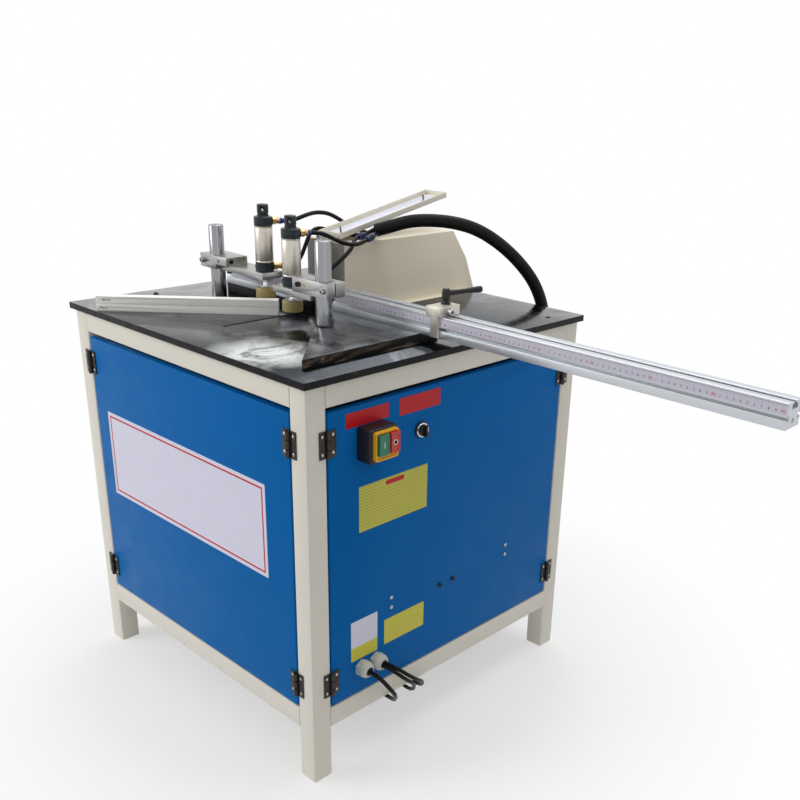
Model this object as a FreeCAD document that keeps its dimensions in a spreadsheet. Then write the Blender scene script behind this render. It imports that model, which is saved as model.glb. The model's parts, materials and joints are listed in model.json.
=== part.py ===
import FreeCAD, Part

import math
import os
import re

import Sketcher
from FreeCAD import Placement, Rotation, Vector

# Pneumatic mitre saw for picture frame and aluminium profiles.
# A steel cabinet carries a plate with a fence along X and a fence at 45 degrees.
# The blade stands in the YZ plane, parks under a sheet guard and is fed towards -Y.
# Lengths are millimetres and angles are degrees. The floor is z = 0.
# A size that starts with an equals sign is a formula of the sheet over other sizes.

# Driving dimensions
SIZES = {
    # Cabinet and table
    "table_length": 720, "table_width": 710, "table_thick": 12, "stand_height": 740,
    "frame_inset": 8, "tube_side": 40, "tube_wall": 2.5, "low_rail_height": 102,
    "panel_gap": 3, "panel_depth": 14, "sheet": 1.5, "panel_tab": 40, "panel_tab_place": 200,
    "cross_rail_drop": 255, "cross_rail_height": "=stand_height - cross_rail_drop", "cross_rail_thick": 20,
    # Saw cut
    "blade_plane": -7, "slot_width": 6, "slot_back": 330, "slot_spare": 8,
    "blade_radius": 175, "blade_thick": 3, "blade_drop": 68,
    "blade_height": "=stand_height - blade_drop", "blade_rest": 155, "blade_bore": 15,
    "tooth_depth": 7, "teeth": 60, "flange_radius": 45, "feed_stroke": 228,
    # Raised plates
    "raised_thick": 18, "raised_right": 306, "raised_corner": -315, "raised_back": -10,
    "raised_nose": 3, "left_raise_end": -14, "left_raise_mitre": 24,
    # Fences
    "fence_front": -56.5, "fence_depth": 40, "fence_height": 37, "fence_right_start": 72,
    "fence_right_length": 900, "fence_left_start": -258, "fence_left_length": 213,
    "groove_height": 16, "groove_open": 4.5, "groove_lip": 2, "groove_wide": 9, "groove_deep": 5, "core_radius": 3.4,
    "top_open": 8.2, "top_lip": 3.5, "top_wide": 17, "top_deep": 7,
    "angle_fence_x": -256, "angle_fence_y": -353, "angle_fence_length": 340,
    "angle_fence_thick": 20, "angle_fence_height": 28, "angle_groove": 3,
    # Length stop
    "stop_left": 325, "stop_width": 32, "stop_height": 16, "stop_leg": 5, "stop_gap": 0.2,
    "stop_overhang": 5, "leg_clear": 1.5, "lever_hub_radius": 7, "lever_hub_height": 27, "lever_arm": 62, "stud_radius": 3.95,
    "stop_screw_radius": 3,
    # Clamps
    "post_radius": 14.5, "post_length": 147, "left_post_x": -200, "left_post_y": -116,
    "right_post_x": 158, "right_post_y": -145, "bracket_fit": 0.05,
    "left_jaw_x": -69, "left_jaw_y": -99, "left_arm_lift": 75, "left_block_drop": 10,
    "left_arm_top": "=stand_height + table_thick + left_arm_lift",
    "left_block_low": "=left_arm_top - left_block_drop",
    "left_block_near": -144, "left_block_far": -231, "left_block_front": -135, "left_block_back": -85,
    "right_jaw_x": 56, "right_jaw_y": -133, "right_arm_lift": 71,
    "right_arm_top": "=stand_height + table_thick + right_arm_lift", "right_block_low": "=right_arm_top",
    "right_block_near": 97, "right_block_far": 190, "right_block_front": -165,
    "right_block_back": -124, "block_height": 26, "slit": 2.5,
    "left_screws_y": -104.5, "right_screws_y": -141,
    "arm_thick": 12, "arm_width": 50, "barrel_radius": 17, "barrel_wall": 1.6, "barrel_length": 67,
    "cap_height": 17, "cap_rim": 0.4, "nipple_radius": 10.75, "nipple_height": 22.5,
    "nose_radius": 8, "nut_height": 7, "nut_radius": 12, "rod_radius": 5, "rod_fit": 0.05,
    "pad_radius": 19, "pad_height": 20, "clamp_stroke": 23, "pad_rest": 1,
    "fitting_radius": 6, "fitting_reach": 20, "port_radius": 3.5, "left_fitting_turn": 60,
    "right_fitting_turn": 60, "screw_radius": 5,
    # Blade guard and flap
    "guard_left": -62, "guard_right": 48, "guard_height": 130, "guard_top_end": 303,
    "guard_bend_y": 346, "guard_bend_drop": 60, "guard_foot": 375, "guard_sheet": 2,
    "guard_flange": 20, "guard_slot": 12, "guard_slot_height": 104,
    "flap_width": 60, "flap_length": 300, "flap_rim": 9, "flap_sheet": 2, "flap_tilt": 11.5,
    "hinge_y": 6, "hinge_lift": 6.2, "hinge_pin": 2, "hinge_knuckle": 4.2, "hinge_fit": 0.05,
    # Butt hinges of the panels
    "butt_height": 46, "butt_width": 17, "butt_thick": 2, "butt_knuckle": 4, "butt_pin": 2,
    "butt_drop": 122, "butt_high": "=stand_height - butt_drop", "butt_low": 170,
    # Switches and glands on the right panel
    "box_near": -244, "box_far": -184, "box_drop": 84, "box_tall": 58, "box_depth": 40,
    "box_high": "=stand_height - box_drop", "box_low": "=box_high - box_tall",
    "button_tall": 35, "button_high": "=box_high - 8", "button_low": "=button_high - button_tall", "green_near": -233, "green_far": -212,
    "red_near": -208, "red_far": -188, "button_rise": 5, "button_travel": 4,
    "selector_y": -95, "selector_drop": 124, "selector_height": "=stand_height - selector_drop", "selector_hole": 11, "bezel_radius": 15,
    "bezel_depth": 6, "knob_radius": 10.5, "knob_depth": 17,
    "gland_one": -235, "gland_two": -200, "gland_height": 196, "gland_radius": 16,
    "gland_reach": 25, "gland_thread": 10, "cord_radius": 4, "cable_radius": 3.6,
    # Saw carriage under the table
    "beam_near": 75, "beam_far": 225, "rail_width": 20, "rail_height": 17, "block_wide": 44,
    "block_long": 60, "block_rise": 5, "slide_fit": 0.15, "block_tall": 24, "carriage_thick": 12,
    "carriage_near": 50, "carriage_far": 252, "carriage_half": 115, "arbor_radius": 14.97,
    "housing_near": 58, "housing_far": 178, "housing_radius": 35, "pulley_near": 25,
    "pulley_width": 22, "pulley_radius": 40, "motor_pulley_radius": 34, "belt_thick": 5,
    "motor_near": 60, "motor_far": 250, "motor_radius": 65, "motor_drop": 302,
    "motor_height": "=stand_height - motor_drop",
    "motor_foot": 12, "hanger_thick": 10, "hanger_near": 105, "hanger_far": 185,
    "feed_x": 150, "feed_drop": 179, "feed_height": "=stand_height - feed_drop", "feed_radius": 20, "feed_front": -307, "feed_spare": 74,
    "feed_rod_radius": 6, "lug_y": 247, "lug_thick": 10,
    # Hose and tubes
    "tube_radius": 4, "hose_radius": 12.5, "hose_y": 378, "hose_x": 245, "hose_drop": 100,
    "hose_end": "=stand_height - hose_drop",
    "elbow_wall": 3, "elbow_drop": 20, "elbow_length": 34, "elbow_plate": 4, "union_radius": 6.5, "ring_radius": 5.8,
    # Mains cord coil
    "coil_turns": 4, "coil_pitch": 8.7, "coil_inner": 29, "coil_x": 30, "coil_y": -60, "coil_gap": 0.7,
    "plug_length": 48, "plug_width": 36, "plug_lead": 56,
}

doc = FreeCAD.newDocument("MitreSaw")
sheet = doc.addObject("Spreadsheet::Sheet", "Sizes")
for row, (alias, value) in enumerate(SIZES.items(), start=1):
    sheet.set(f"A{row}", alias)
    sheet.set(f"B{row}", str(value))
    sheet.setAlias(f"B{row}", alias)
doc.recompute()
probe = doc.addObject("App::FeaturePython", "Probe")
probe.addProperty("App::PropertyFloat", "Reading")

WORD = re.compile(r"[A-Za-z_][A-Za-z_0-9]*")
NODES = []


def size(alias):
    """The number that the sheet holds under an alias."""
    return float(sheet.get(alias))


def linked(text):
    """An expression with each alias pointed at the sheet."""
    return WORD.sub(lambda m: f"Sizes.{m.group(0)}" if m.group(0) in SIZES else m.group(0), str(text))


def bind(piece, prop, text):
    """Drive one property of a piece by an expression over the sheet."""
    piece.setExpression(prop, linked(text))


def number(text):
    """What an expression over the sheet comes to now."""
    probe.setExpression("Reading", linked(text))
    probe.recompute()
    return probe.Reading


# Heights that many pieces share
TABLE_LOW = "stand_height"
TABLE_TOP = "stand_height + table_thick"
RAISED_TOP = "stand_height + table_thick + raised_thick"
FENCE_TOP = f"{RAISED_TOP} + fence_height"
FRAME_X = "table_length/2 - frame_inset"
FRAME_Y = "table_width/2 - frame_inset"
PANEL_LOW = "low_rail_height + tube_side + panel_gap"
PANEL_HIGH = "stand_height - tube_side - 3*panel_gap"
GUARD_TOP = f"{TABLE_TOP} + guard_height"
HINGE_Z = f"{GUARD_TOP} + hinge_lift"
RIM_AT_TABLE = "sqrt(blade_radius^2 - (stand_height - blade_height)^2)"
SLOT_FRONT = f"blade_rest - feed_stroke - {RIM_AT_TABLE} - slot_spare"

# Turns that lay a piece's own Z along an axis of the machine
ALONG = {
    "x": Rotation(Vector(0, 1, 0), 90),
    "y": Rotation(Vector(1, 0, 0), -90),
    "z": Rotation(),
}


# Building blocks

def place(piece, where, turn=None):
    """Turn a piece, then bind its place to three expressions."""
    piece.Placement = Placement(Vector(), turn or Rotation())
    for axis, text in zip("xyz", where):
        bind(piece, f"Placement.Base.{axis}", text)
    return piece


def box(name, xs, ys, zs):
    """A block between pairs of limits, each an expression."""
    piece = doc.addObject("Part::Box", name)
    for prop, (low, high) in zip(("Length", "Width", "Height"), (xs, ys, zs)):
        bind(piece, prop, f"({high}) - ({low})")
    return place(piece, (xs[0], ys[0], zs[0]))


def rod(name, axis, centre, radius, low, high):
    """A cylinder along an axis, its centre given by the other two coordinates."""
    piece = doc.addObject("Part::Cylinder", name)
    bind(piece, "Radius", radius)
    bind(piece, "Height", f"({high}) - ({low})")
    where = list(centre)
    where.insert("xyz".index(axis), low)
    return place(piece, where, ALONG[axis])


def cut(name, base, *tools):
    """A piece with the tools taken away."""
    piece = doc.addObject("Part::Cut", name)
    piece.Base = base
    piece.Tool = tools[0] if len(tools) == 1 else fuse(f"{name}_tools", *tools)
    return piece


def fuse(name, *pieces):
    """Several shapes welded or moulded into one."""
    piece = doc.addObject("Part::MultiFuse", name)
    piece.Shapes = list(pieces)
    return piece


def node(label, *pieces):
    """A named sub-part: one solid, or a set of like solids kept side by side."""
    if len(pieces) == 1:
        piece = pieces[0]
    else:
        piece = doc.addObject("Part::Compound", f"{label}_set")
        piece.Links = list(pieces)
    piece.Label = label
    NODES.append(piece)
    return piece


def plane_of(body, role):
    """One of the body's own origin planes."""
    return next(f for f in body.Origin.OriginFeatures if f.Role == role)


def polygon(sketch, points):
    """A closed outline whose corners are bound to expressions."""
    flat = [Vector(number(a), number(b), 0) for a, b in points]
    count = len(flat)
    for i in range(count):
        sketch.addGeometry(Part.LineSegment(flat[i], flat[(i + 1) % count]), False)
    for i in range(count):
        sketch.addConstraint(Sketcher.Constraint("Coincident", i, 2, (i + 1) % count, 1))
    for i, texts in enumerate(points):
        for kind, other_axis, text, value in zip(("DistanceX", "DistanceY"), (-2, -1), texts, flat[i]):
            if abs(value) < 1e-9:
                sketch.addConstraint(Sketcher.Constraint("PointOnObject", i, 1, other_axis))
                continue
            at = sketch.addConstraint(Sketcher.Constraint(kind, -1, 1, i, 1, value))
            bind(sketch, f"Constraints[{at}]", text)


def body_with_sketch(name, role, points):
    """A body and the outline that its first feature reads."""
    body = doc.addObject("PartDesign::Body", name)
    sketch = body.newObject("Sketcher::SketchObject", f"{name}_outline")
    sketch.AttachmentSupport = [(plane_of(body, role), "")]
    sketch.MapMode = "FlatFace"
    polygon(sketch, points)
    return body, sketch


def prism(name, role, points, low, high):
    """An outline padded between two limits along the third axis."""
    body, sketch = body_with_sketch(name, role, points)
    pad = body.newObject("PartDesign::Pad", f"{name}_pad")
    pad.Profile = sketch
    bind(pad, "Length", f"({high}) - ({low})")
    sketch.Visibility = False
    where = {"XY_Plane": ("0", "0", low), "XZ_Plane": ("0", high, "0"), "YZ_Plane": (low, "0", "0")}
    return place(body, where[role])


def turned(name, axis, where, points):
    """A turned piece: an outline of radius and length spun about its own axis."""
    body, sketch = body_with_sketch(name, "XZ_Plane", points)
    spin = body.newObject("PartDesign::Revolution", f"{name}_turn")
    spin.Profile = sketch
    spin.ReferenceAxis = (sketch, ["V_Axis"])
    spin.Angle = 360
    sketch.Visibility = False
    turn = axis if isinstance(axis, Rotation) else ALONG[axis]
    return place(body, where, turn)


def feature(name, shape):
    """A shape worked out from the sheet by Part's own functions."""
    piece = doc.addObject("Part::Feature", name)
    piece.Shape = shape
    return piece


def hexagon(name, x, y, low, radius, height):
    """A hexagon nut or head standing along Z."""
    piece = doc.addObject("Part::Prism", name)
    piece.Polygon = 6
    bind(piece, "Circumradius", radius)
    bind(piece, "Height", height)
    return place(piece, (x, y, low))


# Routes of hoses and cords

def route_wire(points, share=0.45):
    """Straight runs joined by tangent arcs, each as large as its two runs allow."""
    corners = [Vector(*p) for p in points]
    edges, radii = [], []
    start = corners[0]
    for before, here, after in zip(corners, corners[1:], corners[2:]):
        into = (here - before).normalize()
        out = (after - here).normalize()
        trim = share * min((here - before).Length, (after - here).Length)
        half = into.getAngle(out) / 2
        radius = trim / math.tan(half)
        first = here - into * trim
        last = here + out * trim
        centre = here + (out - into).normalize() * (radius / math.cos(half))
        middle = centre + (here - centre).normalize() * radius
        edges.append(Part.LineSegment(start, first).toShape())
        edges.append(Part.Arc(first, middle, last).toShape())
        radii.append(radius)
        start = last
    edges.append(Part.LineSegment(start, corners[-1]).toShape())
    return Part.Wire(edges), radii


def tube_on(wire, start, direction, radius):
    """A round solid swept along a wire in the default mode of the pipe shell."""
    ring = Part.Wire([Part.Circle(start, direction, radius).toShape()])
    return wire.makePipeShell([ring], True, False)


def cord(name, points, radius):
    """A round cord or tube on its route, with its length and radii printed."""
    wire, radii = route_wire(points)
    corners = [Vector(*p) for p in points]
    shape = tube_on(wire, corners[0], corners[1] - corners[0], radius)
    wanted = math.pi * radius ** 2 * wire.Length
    print(f"{name}: length {wire.Length:.1f}, volume {shape.Volume / wanted:.4f} of section x length,"
          f" radii {' '.join(f'{r:.0f}' for r in radii)}")
    return feature(name, shape)


# Cabinet frame

def frame_legs():
    """Four square tubes from the floor to the table."""
    legs = []
    for sx, sy in ((-1, -1), (1, -1), (1, 1), (-1, 1)):
        name = f"leg_{'rl'[sx < 0]}{'bf'[sy < 0]}"
        outer_x = (FRAME_X, f"{FRAME_X} - tube_side")
        outer_y = (FRAME_Y, f"{FRAME_Y} - tube_side")
        xs = (outer_x[1], outer_x[0]) if sx > 0 else (f"-({outer_x[0]})", f"-({outer_x[1]})")
        ys = (outer_y[1], outer_y[0]) if sy > 0 else (f"-({outer_y[0]})", f"-({outer_y[1]})")
        skin = box(f"{name}_skin", xs, ys, ("0", "stand_height"))
        hole = box(f"{name}_hole", (f"{xs[0]} + tube_wall", f"{xs[1]} - tube_wall"),
                   (f"{ys[0]} + tube_wall", f"{ys[1]} - tube_wall"), ("tube_wall", "stand_height + 1"))
        legs.append(cut(name, skin, hole))
    return node("frame_legs", *legs)


def square_tube(name, axis, xs, ys, zs):
    """A square tube lying along X or Y."""
    inner = []
    for letter, (low, high) in zip("xyz", (xs, ys, zs)):
        wall = "(-1)" if letter == axis else "tube_wall"
        inner.append((f"{low} + {wall}", f"{high} - {wall}"))
    return cut(name, box(f"{name}_skin", xs, ys, zs), box(f"{name}_hole", *inner))


def blade_notch(face, zs):
    """Room in the rear rail for the rim of the parked blade."""
    return box("blade_notch", ("blade_plane - guard_slot/2", "blade_plane + guard_slot/2"),
               (f"{face} - 1", "blade_rest + blade_radius + slide_fit + 2"), (f"{zs[0]} - 1", f"{zs[1]} + 1"))


def frame_rails():
    """Top and bottom rails between the legs, and the inner rails that carry the saw."""
    rails = []
    levels = {"top": ("stand_height - tube_side", "stand_height"),
              "low": ("low_rail_height", "low_rail_height + tube_side")}
    for level, zs in levels.items():
        for side in (-1, 1):
            across = (f"{FRAME_Y} - tube_side", FRAME_Y)
            ys = across if side > 0 else (f"-({across[1]})", f"-({across[0]})")
            xs = (f"-({FRAME_X} - tube_side)", f"{FRAME_X} - tube_side")
            tube = square_tube(f"{level}_rail_{'fb'[side > 0]}", "x", xs, ys, zs)
            if level == "top" and side > 0:
                tube = cut("rear_rail_notched", tube, blade_notch(ys[0], zs))
            rails.append(tube)
            across = (f"{FRAME_X} - tube_side", FRAME_X)
            xs = across if side > 0 else (f"-({across[1]})", f"-({across[0]})")
            ys = (f"-({FRAME_Y} - tube_side)", f"{FRAME_Y} - tube_side")
            rails.append(square_tube(f"{level}_rail_{'lr'[side > 0]}", "y", xs, ys, zs))
    inner_y = f"{FRAME_Y} - tube_side"
    for side in (-1, 1):
        across = (inner_y, f"{inner_y} + cross_rail_thick")
        ys = across if side > 0 else (f"-({across[1]})", f"-({across[0]})")
        rails.append(square_tube(f"cross_rail_{'fb'[side > 0]}", "x",
                                 (f"-({FRAME_X} - tube_side)", f"{FRAME_X} - tube_side"), ys,
                                 ("cross_rail_height", "cross_rail_height + tube_side")))
    for name in ("beam_near", "beam_far"):
        rails.append(square_tube(f"{name}_tube", "y", (f"{name} - tube_side/2", f"{name} + tube_side/2"),
                                 (f"-({inner_y} + cross_rail_thick)", f"{inner_y} + cross_rail_thick"),
                                 ("cross_rail_height + tube_side", "cross_rail_height + 2*tube_side")))
    return node("frame_rails", *rails)


# Table, raised plates and fences

def table_plate():
    """Ground steel plate with the saw slot."""
    plate = box("plate_blank", ("-table_length/2", "table_length/2"),
                ("-table_width/2", "table_width/2"), (TABLE_LOW, TABLE_TOP))
    slot = box("saw_slot", ("blade_plane - slot_width/2", "blade_plane + slot_width/2"),
               (SLOT_FRONT, "slot_back"), (f"{TABLE_LOW} - 1", f"{TABLE_TOP} + 1"))
    return node("table_plate", cut("plate_slotted", plate, slot))


def raised_plates():
    """The plate with the 45 degree edge and the packing bar under the left fence."""
    line = "raised_right + raised_corner"
    right = prism("raised_right_plate", "XY_Plane",
                  [("raised_right", "raised_corner"), ("raised_right", "raised_back"),
                   ("raised_nose", "raised_back"), ("raised_nose", f"{line} - raised_nose")],
                  TABLE_TOP, RAISED_TOP)
    fence_back = "fence_front + fence_depth"
    left = prism("left_packing_bar", "XY_Plane",
                 [("fence_left_start", "fence_front"), ("left_raise_end - left_raise_mitre", "fence_front"),
                  ("left_raise_end", "fence_front + left_raise_mitre*1.17"),
                  ("left_raise_end", fence_back), ("fence_left_start", fence_back)],
                 TABLE_TOP, RAISED_TOP)
    return node("raised_plates", right, left)


def fence_outline():
    """Cross-section of the fence extrusion, with side grooves and a T-slot on top."""
    front, back, low = "fence_front", "fence_front + fence_depth", RAISED_TOP
    top, groove, middle = FENCE_TOP, f"{RAISED_TOP} + groove_height", "fence_front + fence_depth/2"

    def side(face, inward):
        lip, floor = f"{face} {inward} groove_lip", f"{face} {inward} (groove_lip + groove_deep)"
        return [(face, f"{groove} - groove_open/2"), (lip, f"{groove} - groove_open/2"),
                (lip, f"{groove} - groove_wide/2"), (floor, f"{groove} - groove_wide/2"),
                (floor, f"{groove} + groove_wide/2"), (lip, f"{groove} + groove_wide/2"),
                (lip, f"{groove} + groove_open/2"), (face, f"{groove} + groove_open/2")]

    ledge, floor = f"{top} - top_lip", f"{top} - top_lip - top_deep"
    slot = [(f"{middle} - top_open/2", top), (f"{middle} - top_open/2", ledge),
            (f"{middle} - top_wide/2", ledge), (f"{middle} - top_wide/2", floor),
            (f"{middle} + top_wide/2", floor), (f"{middle} + top_wide/2", ledge),
            (f"{middle} + top_open/2", ledge), (f"{middle} + top_open/2", top)]
    return ([(front, low)] + side(front, "+") + [(front, top)] + slot
            + [(back, top)] + side(back, "-")[::-1] + [(back, low)])


def fence(label, start, length):
    """One length of extrusion, with its screw hole through the front wall."""
    bar = prism(f"{label}_bar", "YZ_Plane", fence_outline(), start, f"{start} + {length}")
    core = rod(f"{label}_core", "x", ("fence_front + fence_depth/2", f"{RAISED_TOP} + groove_height/2 + 2"),
               "core_radius", f"{start} - 1", f"{start} + {length} + 1")
    return node(label, cut(f"{label}_cored", bar, core))


def angle_fence():
    """The bar at 45 degrees, grooved along its face and slotted near its free end."""
    bar = box("angle_bar", ("0", "angle_fence_length"), ("0", "angle_fence_thick"), ("0", "angle_fence_height"))
    groove = box("angle_bar_groove", ("-1", "angle_fence_length + 1"), ("-1", "2"),
                 ("angle_fence_height/2 - angle_groove/2", "angle_fence_height/2 + angle_groove/2"))
    slots = []
    for i, (low, high, height) in enumerate((("8", "20", "6.5"), ("14", "26", "21.5"))):
        for j, end in enumerate((low, high)):
            slots.append(rod(f"angle_slot_{i}{j}", "y", (end, height), "2", "-1", "angle_fence_thick + 1"))
        slots.append(box(f"angle_slot_{i}", (low, high), ("-1", "angle_fence_thick + 1"),
                         (f"{height} - 2", f"{height} + 2")))
    piece = cut("angle_bar_cut", bar, groove, *slots)
    place(piece, ("angle_fence_x", "angle_fence_y", TABLE_TOP), Rotation(Vector(0, 0, 1), 45))
    return node("angle_fence", piece)


def table_screws():
    """Screws that hold the plate, the fences and the guard."""
    screws = []
    for i, (x, y) in enumerate((("table_length/2 - 33", "table_width/2 - 74"),
                                ("table_length/2 - 90", "table_width/2 - 15"),
                                ("33 - table_length/2", "171 - table_width/2"))):
        screws.append(rod(f"plate_screw_{i}", "z", (x, y), "screw_radius", TABLE_TOP, f"{TABLE_TOP} + 1.2"))
    for i, x in enumerate(("guard_left - guard_flange/2", "guard_right + guard_flange/2")):
        for j, y in enumerate(("30", "guard_top_end - 20")):
            screws.append(rod(f"guard_screw_{i}{j}", "z", (x, y), "screw_radius",
                              f"{TABLE_TOP} + guard_sheet", f"{TABLE_TOP} + guard_sheet + 4"))
    for i, x in enumerate(("fence_right_start + 8", "fence_left_start + 6")):
        screws.append(rod(f"fence_screw_{i}", "y", (x, f"{RAISED_TOP} + groove_height + 5"), "3",
                          "fence_front - 1.5", "fence_front"))
    return node("table_screws", *screws)


# Length stop on the long fence

def stop_parts():
    """Saddle, its socket screw and the ratchet lever that clamps it."""
    right = "stop_left + stop_width"
    low, top = f"{FENCE_TOP} + stop_gap", f"{FENCE_TOP} + stop_gap + stop_height"
    front = "fence_front - stop_gap - stop_leg"
    saddle = box("stop_saddle", ("stop_left", right), (front, "fence_front + fence_depth + stop_overhang"),
                 (low, top))
    leg = box("stop_leg_plate", ("stop_left + 11", f"{right} - 4"), (front, "fence_front - stop_gap"),
              (f"{RAISED_TOP} + leg_clear", low))
    centre = ("stop_left + stop_width/2", "fence_front + fence_depth/2 + 7")
    bore = rod("stop_bore", "z", centre, "stud_radius + rod_fit", f"{low} - 1", f"{top} + 1")
    screw_at = ("-42", f"{low} + stop_height/2")
    tapped = rod("stop_tapped", "x", screw_at, "stop_screw_radius + rod_fit", f"{right} - 12", f"{right} + 1")
    node("stop_block", cut("stop_body", fuse("stop_solid", saddle, leg), bore, tapped))
    head = rod("stop_screw_head", "x", screw_at, "stop_screw_radius*2", right, f"{right} + 12")
    shank = rod("stop_screw_shank", "x", screw_at, "stop_screw_radius", f"{right} - 11", right)
    socket = rod("stop_screw_socket", "x", screw_at, "2.6", f"{right} + 6", f"{right} + 13")
    node("stop_screw", cut("stop_screw_cut", fuse("stop_screw_solid", head, shank), socket))
    hub_low = f"{top} + 0.2"
    hub = turned("lever_hub", "z", (centre[0], centre[1], hub_low),
                 [("0", "0"), ("lever_hub_radius + 1.5", "0"), ("lever_hub_radius + 1.5", "3"),
                  ("lever_hub_radius - 1", "5"), ("lever_hub_radius", "10"),
                  ("lever_hub_radius", "lever_hub_height - 2"), ("lever_hub_radius - 2", "lever_hub_height"),
                  ("0", "lever_hub_height")])
    stud = rod("lever_stud", "z", centre, "stud_radius", f"{low} + 1", f"{hub_low} + 2")
    lift = Rotation(Vector(0, 0, 1), 45).multiply(Rotation(Vector(0, 1, 0), 82))
    arm = turned("lever_arm_bar", lift, (centre[0], centre[1], f"{hub_low} + lever_hub_height - 8"),
                 [("0", "0"), ("4.2", "0"), ("3.6", "20"), ("5", "lever_arm - 14"), ("5.6", "lever_arm - 5"),
                  ("4.6", "lever_arm - 1"), ("0", "lever_arm")])
    node("stop_lever", fuse("lever_solid", hub, stud, arm))


# Clamps: post, bracket, cylinder, rod and pad

def clamp_posts():
    """Two ground posts, one on the plate and one on the raised plate."""
    posts = []
    for side, low in (("left", TABLE_TOP), ("right", RAISED_TOP)):
        posts.append(turned(f"{side}_post", "z", (f"{side}_post_x", f"{side}_post_y", low),
                            [("0", "0"), ("post_radius", "0"), ("post_radius", "post_length - 1.5"),
                             ("post_radius - 1.5", "post_length"), ("0", "post_length")]))
    return node("clamp_posts", *posts)


def clamp_bracket(side, reach):
    """Block that pinches the post, and the flat arm that carries the cylinder."""
    near, far = f"{side}_block_near", f"{side}_block_far"
    xs = (far, near) if reach > 0 else (near, far)
    ys = (f"{side}_block_front", f"{side}_block_back")
    low, top = f"{side}_block_low", f"{side}_block_low + block_height"
    post = (f"{side}_post_x", f"{side}_post_y")
    arm_top, arm_low = f"{side}_arm_top", f"{side}_arm_top - arm_thick"
    block = box(f"{side}_block", xs, ys, (low, top))
    bore = rod(f"{side}_post_bore", "z", post, "post_radius + bracket_fit", f"{low} - 1", f"{top} + 1")
    slit_x = (f"{far} - 1", post[0]) if reach > 0 else (post[0], f"{far} + 1")
    slit = box(f"{side}_slit", slit_x, (f"{post[1]} - slit/2", f"{post[1]} + slit/2"),
               (f"{low} - 1", f"{top} + 1"))
    post_side = f"{post[0]} + post_radius + 6" if reach > 0 else f"{post[0]} - post_radius - 6"
    step_x = (post_side, f"{near} + 1") if reach > 0 else (f"{near} - 1", post_side)
    step = box(f"{side}_step", step_x, (f"{ys[0]} - 1", f"{ys[1]} + 1"), (f"{low} - 5", arm_top))
    pinch_x = f"{far} + 9" if reach > 0 else f"{far} - 9"
    pinch = rod(f"{side}_pinch_bore", "y", (pinch_x, f"{low} + block_height/2"), "3.1",
                f"{ys[0]} - 1", f"{ys[1]} + 1")
    body = cut(f"{side}_block_cut", block, bore, slit, step, pinch)

    jaw = (f"{side}_jaw_x", f"{side}_jaw_y")
    arm_x = ((post_side, f"{jaw[0]} + arm_width/2") if reach > 0
             else (f"{jaw[0]} - arm_width/2", post_side))
    bar = box(f"{side}_arm_bar", arm_x, (f"{jaw[1]} - arm_width/2", f"{jaw[1]} + arm_width/2"),
              (arm_low, arm_top))
    hole = rod(f"{side}_arm_hole", "z", jaw, "nose_radius + bracket_fit", f"{arm_low} - 1", f"{arm_top} + 1")
    clear = rod(f"{side}_arm_post_clear", "z", post, "post_radius + 5", f"{arm_low} - 1", f"{arm_top} + 1")
    arm = cut(f"{side}_arm_cut", bar, hole, clear)
    node(f"clamp_bracket_{side}", body, arm)

    pinch_at = (pinch_x, f"{low} + block_height/2")
    head = rod(f"{side}_pinch_head", "y", pinch_at, "5", f"{ys[0]} - 6", ys[0])
    shank = rod(f"{side}_pinch_shank", "y", pinch_at, "3", ys[0], f"{ys[1]} - 2")
    pieces = [fuse(f"{side}_pinch_screw", head, shank)]
    for i, shift in enumerate(("- 10", "+ 10")):
        at = (f"({post_side} + {near})/2", f"{side}_screws_y {shift}")
        pieces.append(rod(f"{side}_arm_screw_{i}", "z", at, "4.5", f"{arm_low} - 5", arm_low))
    ring = hexagon(f"{side}_nut_blank", *jaw, f"{arm_low} - nut_height", "nut_radius", "nut_height")
    thread = rod(f"{side}_nut_hole", "z", jaw, "nose_radius + bracket_fit", f"{arm_low} - nut_height - 1",
                 f"{arm_low} + 1")
    pieces.append(cut(f"{side}_nut", ring, thread))
    node(f"clamp_screws_{side}", *pieces)


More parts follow.
